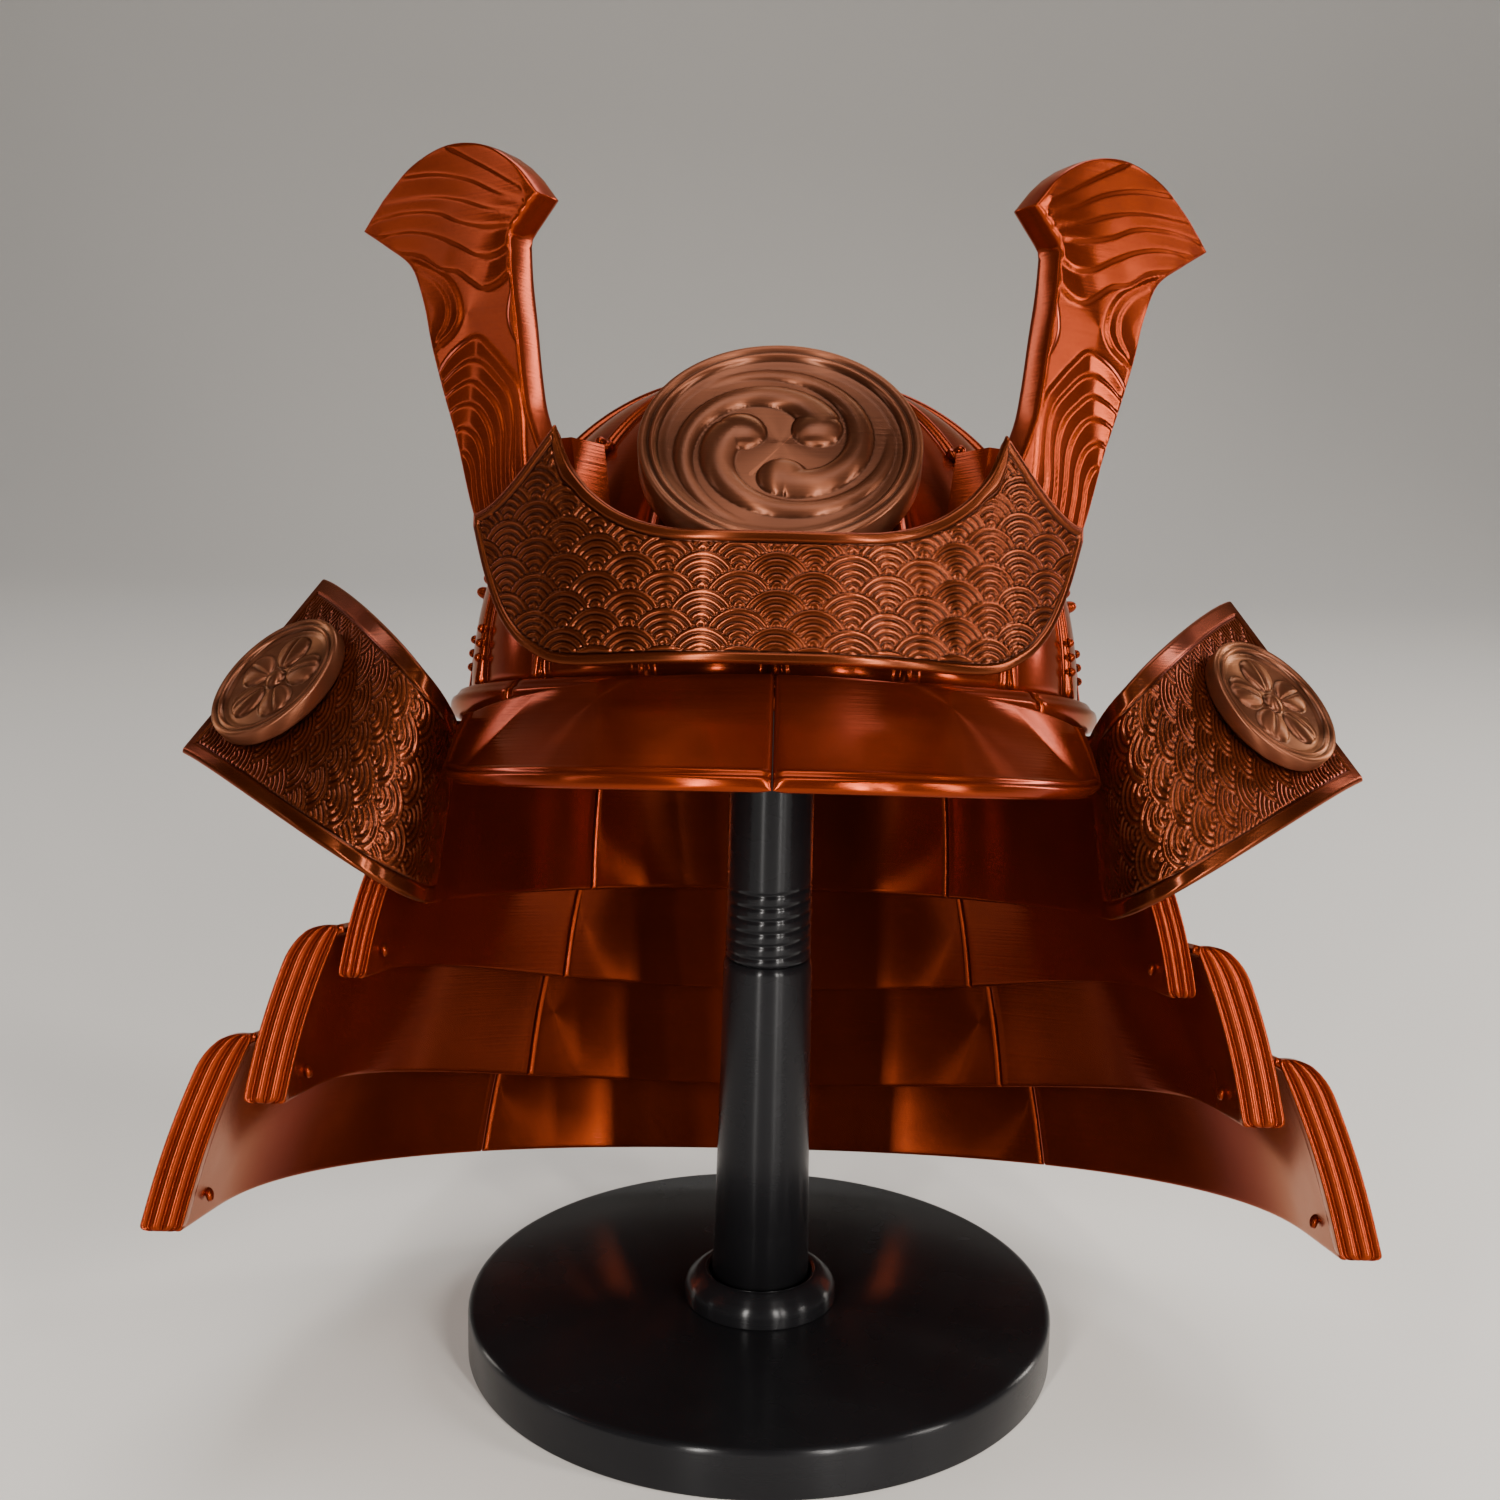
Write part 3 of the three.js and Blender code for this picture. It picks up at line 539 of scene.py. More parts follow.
def add_stud(body, turn, height, radius, tall, washer):
    """A domed stud on a round washer, standing square to the bowl on a rib."""
    rise = bowl_rise(height)
    at = bowl_point(turn, rise, RIB["height"] * 0.75)
    out = unit(bowl_point(turn, rise, RIB["height"] + 4) - at)
    side = unit(np.cross(out, [0.02, 0.03, 1]))
    basis = np.stack([side, np.cross(out, side), out])
    dome = [(radius * math.cos(a) ** 0.9, 0.6 + tall * math.sin(a)) for a in np.linspace(0, 1.5, 6)]
    profile = [(0, -1.5), (washer, -1.5), (washer, 0.2), (washer - 0.4, 0.6), *dome, (0, 0.6 + tall)]
    add_lathe(body, profile, 14, matrix=lambda p: at + p @ basis)


def bowl_piece():
    """The hollow dome with its ribs, the lobes between them and the studs on the ribs."""
    ribs, pitch = BOWL["ribs"], 360 / BOWL["ribs"]
    rises = np.concatenate([np.linspace(1, 0.9, 16), np.linspace(0.9, 0, 80)[1:]])
    out = np.clip(np.cos(np.radians(rises * 90)), 0, 1) ** (2 / BOWL["square"])
    half = np.minimum(np.degrees(RIB["half"] / np.maximum(BOWL["half"] * out, 1e-3)), 7.0)
    fade = 1 - rises**6
    flare = 1 + 0.5 * np.exp(-rises / 0.035)
    turns, lifts = [], []
    for k in range(ribs):
        for q in np.linspace(-1, 1, 9):
            turns.append(k * pitch + half * q)
            lifts.append(RIB["height"] * fade * flare * math.cos(math.pi * q / 2) ** 0.7)
        for q in np.linspace(0, 1, 11)[1:-1]:
            turns.append(k * pitch + lerp(half, pitch - half, q))
            lifts.append(RIB["lobe"] * fade * math.sin(math.pi * q) ** 0.8)
    turns, lifts = np.stack(turns, axis=1), np.stack(lifts, axis=1)
    outer = bowl_point(turns, rises[:, None], lifts)
    inner_rises = np.linspace(0, 1, 26)
    inner = bowl_point(turns[-1][None, :], inner_rises[:, None], -WALL)
    # The wall's inner skin runs on below the foot as a thin skirt that stands inside the rim.
    foot = bowl_point(turns[-1][None, :], 0.0, SKIRT["thick"] - WALL)
    lip = (outer[-1:] + foot) / 2
    lip[..., 2] -= 0.8
    skirt, hem = foot.copy(), inner[:1].copy()
    skirt[..., 2] = hem[..., 2] = SKIRT["low"]
    body = Body()
    add_tube_grid(body, np.concatenate([outer, lip, foot, skirt, hem, inner]), cap_start=False, cap_end=False)
    for k in range(ribs):
        turn = k * pitch
        aside = min(turn, 360 - turn)
        for level in STUD_LEVELS:
            if aside >= FRONT_SECTOR or (level > 60 and aside >= 15):
                add_stud(body, turn, level, 2.3, 3.4, 3.5)
        if aside >= FRONT_SECTOR - 6:
            for level in BEAD_LEVELS:
                add_stud(body, turn, level, 1.7, 1.9, 2.0)
    helmet_piece("bowl", body)


bowl_piece()


def rim_piece(name, start, end):
    """A length of the rim moulding: a round roll with a shallow groove along its upper outside."""
    length = abs(math.radians(end - start)) * 124
    at = spaced(length, 3.0, 2.0)
    turn = np.radians(lerp(start, end, at / length))
    depth = np.where(np.cos(turn) > 0, RIM["front"], RIM["back"])
    centre = np.stack([RIM["half"] * np.sin(turn), -depth * np.cos(turn), np.full(turn.shape, RIM["z"])], -1)
    along = unit(np.stack([RIM["half"] * np.cos(turn), depth * np.sin(turn), 0 * turn], -1))
    out = np.cross(along, [0, 0, 1.0])
    phi = np.linspace(0, 2 * math.pi, 28, endpoint=False)
    radius = RIM["radius"] * (1 - 0.16 * np.exp(-((phi - 0.75) / 0.2) ** 2))
    size = np.maximum(rounding(at, length, 2.0), 0.02)[:, None, None]
    ring = radius[None, :, None] * (
        np.cos(phi)[None, :, None] * out[:, None, :]
        + np.sin(phi)[None, :, None] * np.array([0, 0, 1.0])
    )
    body = Body()
    add_tube_grid(body, centre[:, None, :] + ring * size)
    helmet_piece(name, body)


rim_piece("rim_front", -RIM["seam"], RIM["seam"])
for side, sign in SIDES:
    rim_piece("rim_" + side, sign * (RIM["seam"] + 0.3), sign * 179.8)

# ---- Brim -------------------------------------------------


def brim_piece(side, sign):
    """Half of the peak: a sloping sheet with two beads along its edge and a facet at its end."""
    length, depth = BRIM["length"], BRIM["slope"]
    u, v = spaced(length, 1.6, 1.7), spaced(depth, 0.6, 1.7)
    column = u / length * (len(BRIM_INNER) - 1)
    steps = np.arange(len(BRIM_INNER))
    inner = np.interp(column, steps, BRIM_INNER)[:, None]
    outer = np.interp(column, steps, BRIM_OUTER)[:, None]
    reach = hermite(steps, BRIM_REACH, column)[:, None]
    a = np.stack([
        BRIM["inner_half"] * np.sin(np.radians(inner)),
        -BRIM["inner_front"] * np.cos(np.radians(inner)),
        BRIM["inner_top"] - BRIM["inner_drop"] * (inner / BRIM_INNER[-1]) ** 2,
    ], axis=-1)
    b = np.stack([
        BRIM["outer_half"] * np.sin(np.radians(outer)) ** 0.85,
        -BRIM["outer_front"] * np.cos(np.radians(outer)) ** 0.9,
        BRIM["outer_top"] + BRIM["outer_rise"] * (outer / BRIM_OUTER[-1]) ** 3,
    ], axis=-1)
    at = (v / depth)[None, :]
    middle = a + (b - a) * (at * reach)[..., None]
    # The slope sags a little below the straight line, and the end facet bulges like a lens.
    lens = smooth(4, 5.2, column)[:, None] * np.sin(math.pi * at)
    middle[..., 2] += 1.6 * lens - 0.8 * np.sin(math.pi * at) * (1 - smooth(4, 5, column)[:, None])
    middle[..., 0] = np.maximum(middle[..., 0], GAP / 2) * sign
    from_edge = np.minimum((depth - v)[None, :], (length - u)[:, None] * 0.9 + 1.0)
    bead = 1.3 * np.exp(-(((from_edge - 2.3) / 1.3) ** 2)) + 1.1 * np.exp(-(((from_edge - 5.9) / 1.1) ** 2))
    thickness = WALL * rounding(u, length, 1.7)[:, None] * rounding(v, depth, 1.7)[None, :]
    body = Body()
    add_curved_sheet(body, middle, thickness, toward=(0, -1, 1), relief=bead)
    helmet_piece("brim_" + side, body)


for side, sign in SIDES:
    brim_piece(side, sign)

# ---- Front crest ------------------------------------------


def plate_piece():
    """The curved holder, with fans of arcs inside a plain border."""
    total = 2 * math.radians(PLATE_ANGLE[-1]) * PLATE["radius"]
    u = spaced(total, 0.38, 1.1)
    f = spaced(1.0, 1 / 132, 0.024)
    angle = np.degrees((u - total / 2) / PLATE["radius"])
    aside = np.abs(angle)
    peak = PLATE_HIGH.index(max(PLATE_HIGH))
    low = hermite(PLATE_ANGLE, PLATE_LOW, aside)
    high = np.where(
        aside <= PLATE_ANGLE[peak],
        hermite(PLATE_ANGLE[: peak + 1], PLATE_HIGH[: peak + 1], np.minimum(aside, PLATE_ANGLE[peak])),
        hermite(PLATE_ANGLE[peak:], PLATE_HIGH[peak:], np.maximum(aside, PLATE_ANGLE[peak])),
    )
    z = low[:, None] + (high - low)[:, None] * f[None, :]
    across = np.radians(angle)[:, None] * np.ones_like(z)
    r = PLATE["radius"] - PLATE["wall"] / 2
    middle = np.stack([r * np.sin(across), PLATE["centre_y"] - r * np.cos(across), z], axis=-1)
    lean_low = np.hypot(1, np.gradient(low, u))[:, None]
    lean_high = np.hypot(1, np.gradient(high, u))[:, None]
    d = np.minimum((z - low[:, None]) / lean_low, (high[:, None] - z) / lean_high)
    d = np.minimum(d, np.minimum(u, total - u)[:, None])
    thickness = PLATE["wall"] * rounding(d, np.inf, PLATE["nose"])
    pattern = wave_scales((u - total / 2)[:, None] * np.ones_like(z), z - PLATE["foot"], **PLATE_SCALE)
    border = PLATE["border"]
    field = smooth(border - 0.25, border + 0.25, d)
    groove = -0.75 * np.exp(-(((d - border + 0.3) / 0.5) ** 2)) + 0.25 * np.exp(-(((d - 2.4) / 1.0) ** 2))
    relief = lerp(groove, pattern - 0.25, field)
    body = Body()
    add_curved_sheet(body, middle, thickness, toward=(0, -1, 0), relief=relief, stride=6)
    helmet_piece("front_plate", body, "plate")


plate_piece()

HORN_INNER = [(-17, 44), (-14, 64), (-6.5, 80), (-2.5, 90), (-0.6, 99), (2.4, 118), (5, 134), (6, 145.6)]
HORN_TIP = (-5, 157.6)
HORN_OUTER = [(14, 44), (19.6, 57.7), (27.2, 81), (33.5, 97), (39.2, 113), (43.2, 127), (49.2, 139.4),
              (60, 147), (71.4, 154)]
HORN_TOP = [(-5, 157.6), (5, 168.6), (18, 176.5), (34.4, 178.9), (49, 174.5), (61.2, 165.2), (71.4, 154)]
# Crisp edges of the carved steps on the horn's face: fan, outer eye, inner eye and lower arches.
HORN_FAN = [
    [(2, 159.6), (17.8, 168.6), (32, 176.3)],
    [(0.7, 155.3), (11.3, 159.1), (24, 165.1), (36.9, 168.7), (56, 170)],
    [(3, 151.8), (16.1, 154.9), (26.3, 158.6), (36.6, 160.9), (65, 162)],
    [(5.9, 147.9), (19.6, 149.6), (28.6, 152.1), (36.3, 155.5), (50, 157.5), (70, 156.2)],
    [(5.1, 142.1), (10.5, 139.4), (19.3, 139.9), (28.3, 144.3), (36, 147.7), (48, 150.8), (62, 151)],
    [(5.4, 133.1), (10.2, 129.8), (16.3, 128.8), (21.5, 131.5), (27.9, 135.6), (35.6, 137.4), (43, 142),
     (56, 145)],
]
HORN_OUTER_EYE = [
    [(46, 141), (38, 137.5), (31.7, 133.6), (26.9, 126.3), (26.1, 120.5), (28.5, 116), (34, 112)],
    [(44, 137.6), (36, 132.5), (31.4, 126), (31.5, 119.5), (35, 114)],
]
HORN_INNER_EYE = [[(2.6, 136), (3.4, 129.4), (5.2, 124), (5.6, 118.3), (3.4, 112.4), (-1.5, 107.2)]]
HORN_ARCHES = [
    [(34, 104), (30, 108.3), (24.5, 111.6), (18.9, 113.5), (11.9, 108.5), (5.5, 102.2), (0.8, 96.6),
     (-1, 91), (-2, 84.5), (-2.5, 77), (-4, 66), (-8, 54)],
    [(33, 99.5), (26.7, 103.7), (21.7, 105.6), (16.7, 104.7), (10.3, 99.8), (3.9, 92.6), (1.8, 84.9),
     (1.5, 77.3), (1.9, 70.8), (0, 58)],
    [(32.4, 94), (26, 97.6), (20.4, 98.8), (14.6, 95.2), (8.6, 89), (6, 82), (5.6, 74), (5, 64), (3, 54)],
    [(31.4, 88), (25.4, 91), (19.6, 91), (13.6, 85.5), (10.4, 78), (9.6, 70), (8, 60), (6, 52)],
    [(29.6, 81), (24, 83.6), (18.4, 81), (14.8, 74.5), (13.6, 66), (11.5, 56)],
    [(27.6, 75), (22.4, 75.4), (18.6, 70), (17.4, 63), (15.5, 54)],
]


def edge_distance(a, z, outline):
    """Distance from each point of a grid to a closed outline."""
    best = np.full(a.shape, np.inf)
    for p, q in zip(outline[:-1], outline[1:]):
        d = q - p
        t = np.clip(((a - p[0]) * d[0] + (z - p[1]) * d[1]) / max(d @ d, 1e-9), 0, 1)
        best = np.minimum(best, np.hypot(a - p[0] - t * d[0], z - p[1] - t * d[1]))
    return best


def horn_piece(side, sign):
    """A board bounded by four smooth edges, its face carved in overlapping wind-blown steps."""
    s, t = spaced(1.0, 1 / 210, 0.009), spaced(1.0, 1 / 74, 0.03)
    inner = path_points(HORN_INNER, 400)
    tip = np.linspace(HORN_INNER[-1], HORN_TIP, 60)[1:]
    inner = np.concatenate([inner, tip])
    outer, top = path_points(HORN_OUTER, 460), path_points(HORN_TOP, 400)

    def along(line, share):
        where = np.linspace(0, 1, len(line))
        return np.stack([np.interp(share, where, line[:, 0]), np.interp(share, where, line[:, 1])], -1)

    left, right, head = along(inner, s), along(outer, s), along(top, t)
    foot = lerp(inner[0], outer[0], t[:, None])
    si, ti = s[:, None, None], t[None, :, None]
    board = (
        left[:, None] * (1 - ti) + right[:, None] * ti
        + foot[None] * (1 - si) + head[None] * si
        - (inner[0] * (1 - si) * (1 - ti) + outer[0] * (1 - si) * ti
           + inner[-1] * si * (1 - ti) + outer[-1] * si * ti)
    )
    a, z = board[..., 0], board[..., 1]
    outline = np.concatenate([inner[::6], [inner[-1]], top[::8], [top[-1]], outer[::-1][::8],
                              [outer[0], inner[0]]])
    d = edge_distance(a, z, outline)
    d[0, :] = d[-1, :] = d[:, 0] = d[:, -1] = 0
    nose = (1 - (1 - np.clip(d / 1.1, 0, 1)) ** 3.5) ** (1 / 3.5)
    carved = np.maximum.reduce([
        shingle(a, z, HORN_FAN, 0.9, 8.0),
        shingle(a, z, HORN_OUTER_EYE, 0.8, 6.0),
        shingle(a, z, HORN_INNER_EYE, 0.7, 6.0, side=-1),
        shingle(a, z, HORN_ARCHES, 0.85, 5.2),
    ])
    relief = (carved - 0.35) * smooth(0.2, 1.6, d)
    c, q = math.cos(HORN["turn"]), math.sin(HORN["turn"])

    def board_to_helmet(depth):
        far = HORN["distance"] - depth
        return np.stack([sign * (a * c + far * q), a * q - far * c, z], axis=-1)

    half = HORN["thick"] / 2
    front = board_to_helmet(half - half * nose - relief)
    back = board_to_helmet(half + half * nose)
    body = Body()
    add_shell(body, front, back, stride=5)
    helmet_piece("horn_" + side, body)


for side, sign in SIDES:
    horn_piece(side, sign)


def polar_grid(radius, rows, columns):
    turns = np.linspace(0, 2 * math.pi, columns, endpoint=False)
    return np.meshgrid(np.linspace(0, radius, rows), turns, indexing="ij")


def ring_surface(heights, radius, thick, rim):
    """Rows of a round badge: a height field from the centre out, a rim, its side and its back."""
    rho, phi, height = heights
    rows = [np.stack([rho * np.cos(phi), rho * np.sin(phi), height], axis=-1)]
    for r, z in [*rim, (radius, -1.0), (radius, 1.2 - thick), (radius - 0.4, 0.4 - thick),
                 (radius - 1.2, -thick), (radius * 0.5, -thick), (0, -thick)]:
        rows.append(np.stack([r * np.cos(phi[:1]), r * np.sin(phi[:1]), np.full(phi[:1].shape, z)], -1))
    return np.concatenate(rows)


def disc_piece():
    """The disc with three commas winding round its centre."""
    r = DISC["radius"]
    rho, phi = polar_grid(r - 6.2, 84, 288)
    height = np.zeros(rho.shape)
    for k in range(3):
        start = math.radians(COMMA["turn"] + 120 * k)
        behind = (phi - start) % (2 * math.pi)
        t = np.clip(np.degrees(behind) / COMMA["sweep"], 0, 1)
        middle = lerp(COMMA["head_at"], COMMA["reach"], t**0.75)
        thin = 0.4 * np.exp(-t * COMMA["sweep"] / 34) + 0.6 * (1 - t) ** 0.75
        width = 1.2 + (COMMA["head"] - 1.2) * thin
        tail = np.clip(1 - ((rho - middle) / width) ** 2, 0, 1) ** 0.7 * (1 - t**3) * (0.62 + 0.38 * thin)
        tail = np.where(np.degrees(behind) < COMMA["sweep"], tail, 0)
        away = np.hypot(rho * np.cos(phi) - COMMA["head_at"] * math.cos(start),
                        rho * np.sin(phi) - COMMA["head_at"] * math.sin(start))
        head = np.clip(1 - (away / (COMMA["head"] - 0.4)) ** 2, 0, 1) ** 0.6
        height = np.maximum(height, np.maximum(tail, head))
    floor = -2.9 + 0.7 * smooth(r - 9.5, r - 6.2, rho)
    rim = [(r - 5.6, -1.2), (r - 5.2, -0.6), (r - 4.6, -0.3), (r - 4.0, -0.5), (r - 3.5, -1.0),
           (r - 3.0, -0.9), (r - 2.4, -0.2), (r - 1.6, 0.0), (r - 0.8, -0.1), (r - 0.25, -0.45)]
    rings = ring_surface((rho, phi, floor + COMMA["height"] * height), r, DISC["thick"], rim)
    c, s = math.cos(DISC["lift"]), math.sin(DISC["lift"])
    # The badge's own up stays upright as its face tips back towards the sky.
    basis = np.array([[1, 0, 0], [0, s, c], [0, -c, s]])
    body = Body()
    add_tube_grid(body, rings @ basis + np.array([0, DISC["y"], DISC["z"]]), cap_start=False, cap_end=False)
    helmet_piece("front_disc", body, "bronze")


disc_piece()

# ---- Turn-backs -------------------------------------------


def wing_point(along, across):
    """A point of the folded sheet: along from the lame outwards, across from bottom to top edge."""
    top, bottom = bezier(WING_TOP, along), bezier(WING_BOTTOM, along)
    return bottom + (top - bottom) * np.asarray(across, float)[..., None]


def wing_piece(side, sign):
    """A folded sheet with fans of arcs inside a plain border, the fans opening towards the lame."""
    fine = np.linspace(0, 1, 400)
    steps = np.linalg.norm(np.diff(wing_point(fine, 0.5), axis=0), axis=1)
    run = np.concatenate([[0], np.cumsum(steps)])
    u, v = spaced(run[-1], 0.5, WING["nose"]), spaced(1.0, 1 / 172, 0.016)
    along, across = np.meshgrid(np.interp(u, run, fine), v, indexing="ij")
    middle = wing_point(along, across)
    tall = np.linalg.norm(middle[:, -1] - middle[:, 0], axis=-1)[:, None]
    step = np.linalg.norm(np.diff(middle, axis=0), axis=-1)
    from_lame = np.concatenate([np.zeros_like(step[:1]), np.cumsum(step, axis=0)])
    from_outer = from_lame[-1:] - from_lame
    d_top, d_bottom = tall * (1 - across), tall * across
    d = np.minimum(np.minimum(from_outer - WING["outer"], from_lame - 2.0),
                   np.minimum(d_top - WING["top"], d_bottom - WING["bottom"]))
    field = smooth(-0.3, 0.3, d)
    groove = -0.6 * np.exp(-(((d + 0.6) / 0.6) ** 2))
    pattern = wave_scales(tall * (across - 0.5), from_outer, **WING_SCALE)
    relief = lerp(groove, pattern - 0.1, field)
    ends = rounding(np.minimum(from_lame, from_outer), np.inf, WING["nose"])
    thickness = WING["wall"] * ends * rounding(np.minimum(d_top, d_bottom), np.inf, WING["nose"])
    middle[..., 0] *= sign
    body = Body()
    add_curved_sheet(body, middle, thickness, toward=(sign * 0.5, -0.6, 0.6), relief=relief, stride=5)
    helmet_piece("wing_" + side, body, "plate")


def crest_piece(side, sign):
    """A round badge with a plain five-petal blossom."""
    r = CREST["radius"]
    rho, phi = polar_grid(r - 4.6, 60, 180)
    x, y = rho * np.cos(phi), rho * np.sin(phi)
    height = np.zeros(rho.shape)
    for k in range(PETAL["count"]):
        turn = math.pi / 2 + 2 * math.pi * k / PETAL["count"]
        along = x * math.cos(turn) + y * math.sin(turn)
        across = -x * math.sin(turn) + y * math.cos(turn)
        half_width = PETAL["half_width"] + PETAL["widening"] * along
        petal = 1 - ((along - PETAL["at"]) / PETAL["half_length"]) ** 2 - (across / half_width) ** 2
        vein = 1 - 0.3 * np.exp(-((across / 0.7) ** 2)) * (along > 5)
        height = np.maximum(height, np.clip(petal, 0, 1) ** 0.5 * vein)
    heart = np.clip(1 - (rho / 4.0) ** 2, 0, 1) ** 0.5 * 1.15
    height = np.maximum(height, heart)
    floor = -2.0 + 0.5 * smooth(r - 6.6, r - 4.8, rho)
    rim = [(r - 4.3, -0.8), (r - 4.0, -0.3), (r - 3.4, -0.1), (r - 2.9, -0.7), (r - 2.4, -0.6),
           (r - 2.0, -0.1), (r - 1.2, 0), (r - 0.5, -0.15), (r - 0.15, -0.5)]
    rings = ring_surface((rho, phi, floor + PETAL["height"] * height), r, CREST["thick"], rim)
    # The badge lies square to the wing at its centre, from the wing's slopes there.
    e = 0.01
    a0, c0 = CREST["along"], CREST["across"]
    up = unit(wing_point(a0, 1) - wing_point(a0, 0))
    facing = unit(np.cross(wing_point(a0 + e, c0) - wing_point(a0 - e, c0), up))
    right = unit(np.cross(up, facing))
    basis = np.stack([right, np.cross(facing, right), facing])
    seat = wing_point(a0, c0) + facing * (WING["wall"] / 2 + GAP + 0.6 + CREST["thick"])
    placed = rings @ basis + seat
    placed[..., 0] *= sign
    body = Body()
    add_tube_grid(body, placed, cap_start=False, cap_end=False)
    helmet_piece("wing_crest_" + side, body, "bronze")


for side, sign in SIDES:
    wing_piece(side, sign)
    crest_piece(side, sign)

# ---- Neck guard -------------------------------------------


def neck_plan(p, half, back, end):
    """The plan of a lame at angle p: straight at the sides in front, a squared half oval behind."""
    e = 2 / LAME["square"]
    c, s = np.cos(np.radians(np.maximum(p, 0))), np.sin(np.radians(np.maximum(p, 0)))
    x = np.where(p < 0, half, half * np.maximum(c, 0) ** e)
    y = np.where(p < 0, end * p / -LAME_END, back * s**e)
    return x, y


def lame_edges(lame, p):
    """Heights of a lame's top and bottom edges at plan angle p."""
    behind = np.sin(np.radians(np.maximum(p, 0))) ** 2
    return lame["top"] - lame["sag"] * behind, lame["bottom"] - lame["drop"] * behind


def lame_wall(lame, p, z):
    """Half width and depth of a lame's inner face at height z, at plan angle p."""
    t = (lame_edges(lame, p)[0] - z) / (lame["top"] - lame["bottom"])
    swell = LAME["bulge"] * np.sin(math.pi * np.clip(t, 0, 1))
    return lerp(*lame["half"], t) + swell, lerp(*lame["back"], t) + swell


def shelf_reach(index, p, z):
    """What a lame's shelf reaches in to: the lame above, or under the rim for the first."""
    if index == 0:
        under = SHELF["under_rim"]
        return np.full(p.shape, RIM["half"] - under), np.full(p.shape, RIM["back"] - under)
    half, back = lame_wall(LAMES[index - 1], p, z)
    return half + WALL + 3 * GAP, back + WALL + 3 * GAP


def lame_surface(index, p, sign):
    """The middle surface of a lame: in along the shelf, round the shoulder and down the wall."""
    lame = LAMES[index]
    edge, bottom = lame_edges(lame, p)
    top = edge - SHELF["half"]
    reach_half, reach_back = shelf_reach(index, p, edge)
    wall_half, wall_back = lame_wall(lame, p, top)
    bend = SHELF["bend"]
    on_roll = smooth(LAME_END * 0.55, LAME_END * 0.72, p) if index else np.zeros(p.shape)
    reach_half = lerp(reach_half, wall_half - 0.6, on_roll)
    reach_back = lerp(reach_back, wall_back - 0.6, on_roll)
    rows = []
    for f in (0, 0.02, 0.06, 0.14, 0.3, 0.5, 0.75, 1):
        rows.append((lerp(reach_half, wall_half + WALL / 2 - bend, f),
                     lerp(reach_back, wall_back + WALL / 2 - bend, f), top))
    for a in np.linspace(0, math.pi / 2, 7)[1:]:
        z = top - bend * (1 - math.cos(a))
        h, b = lame_wall(lame, p, z)
        out = WALL / 2 - bend * (1 - math.sin(a))
        rows.append((h + out, b + out, z))
    start = top - bend
    for f in [*np.linspace(0, 0.94, 20)[1:], 0.96, 0.975, 0.985, 0.992, 0.997, 1]:
        z = lerp(start, bottom, f)
        h, b = lame_wall(lame, p, z)
        rows.append((h + WALL / 2, b + WALL / 2, z))
    points = []
    for h, b, z in rows:
        x, y = neck_plan(p, h, b, lame["end"])
        points.append(np.stack([sign * x, y, z], axis=-1))
    return np.stack(points, axis=1)


def lame_thickness(middle):
    """Full thickness with round noses along all four edges, from the grid's own spacing."""

    def from_edges(step, axis):
        run = np.concatenate([np.zeros_like(np.take(step, [0], axis)), np.cumsum(step, axis)], axis)
        last = np.take(run, [-1], axis)
        return np.minimum(run, last - run)

    d_u = from_edges(np.linalg.norm(np.diff(middle, axis=0), axis=-1), 0)
    d_v = from_edges(np.linalg.norm(np.diff(middle, axis=1), axis=-1), 1)
    nose_u = np.clip(d_u / 1.0, 0, 1)
    nose_v = np.clip(d_v / 1.4, 0, 1)
    return (WALL - 0.2) * np.sqrt(1 - (1 - nose_u) ** 2) * np.sqrt(1 - (1 - nose_v) ** 2)


def roll_bar(body, index, sign):
    """The rolled front end: a bar with three flutes down its face and a rounded top corner."""
    lame = LAMES[index]
    top, bottom = lame["top"] - 0.4, lame["bottom"] + 0.2
    at = spaced(top - bottom, 2.2, 2.4)
    z = top - at
    half, _ = lame_wall(lame, np.full(z.shape, float(LAME_END)), z)
    wide = WALL + lame["roll"]
    round_top = rounding(at, np.inf, LAME["roll_corner"])
    wide = wide * lerp(0.42, 1.0, round_top)
    deep = LAME["roll_length"]
    y0 = -lame["end"]
    face = np.linspace(0, 1, 43)
    flute = LAME["flute_depth"] * np.abs(np.cos(math.pi * LAME["flutes"] * face)) ** 0.8
    loop = [(w, LAME["flute_depth"] - fl) for w, fl in zip(face, flute)]
    loop += [(1.0 - 0.02 * k, deep * f) for k, f in ((0, 0.1), (0, 0.3), (0, 0.7), (2, 0.9), (6, 1.0))]
    loop += [(w, deep) for w in (0.75, 0.5, 0.25, 0.1)]
    loop += [(0.02, deep * 0.8), (0.0, deep * 0.5), (0.0, deep * 0.15)]
    loop = np.array(loop, float)
    centre = loop.mean(axis=0)
    cap = rounding(at, top - bottom, 2.4)[:, None]
    cap = np.maximum(cap, 0.05) ** 0.5
    w = lerp(centre[0], loop[:, 0][None, :], cap)
    y = lerp(centre[1], loop[:, 1][None, :], cap)
    rings = np.stack([
        sign * (half[:, None] - 0.2 + w * wide[:, None]),
        y0 + y,
        z[:, None] * np.ones_like(w),
    ], axis=-1)
    add_tube_grid(body, rings)


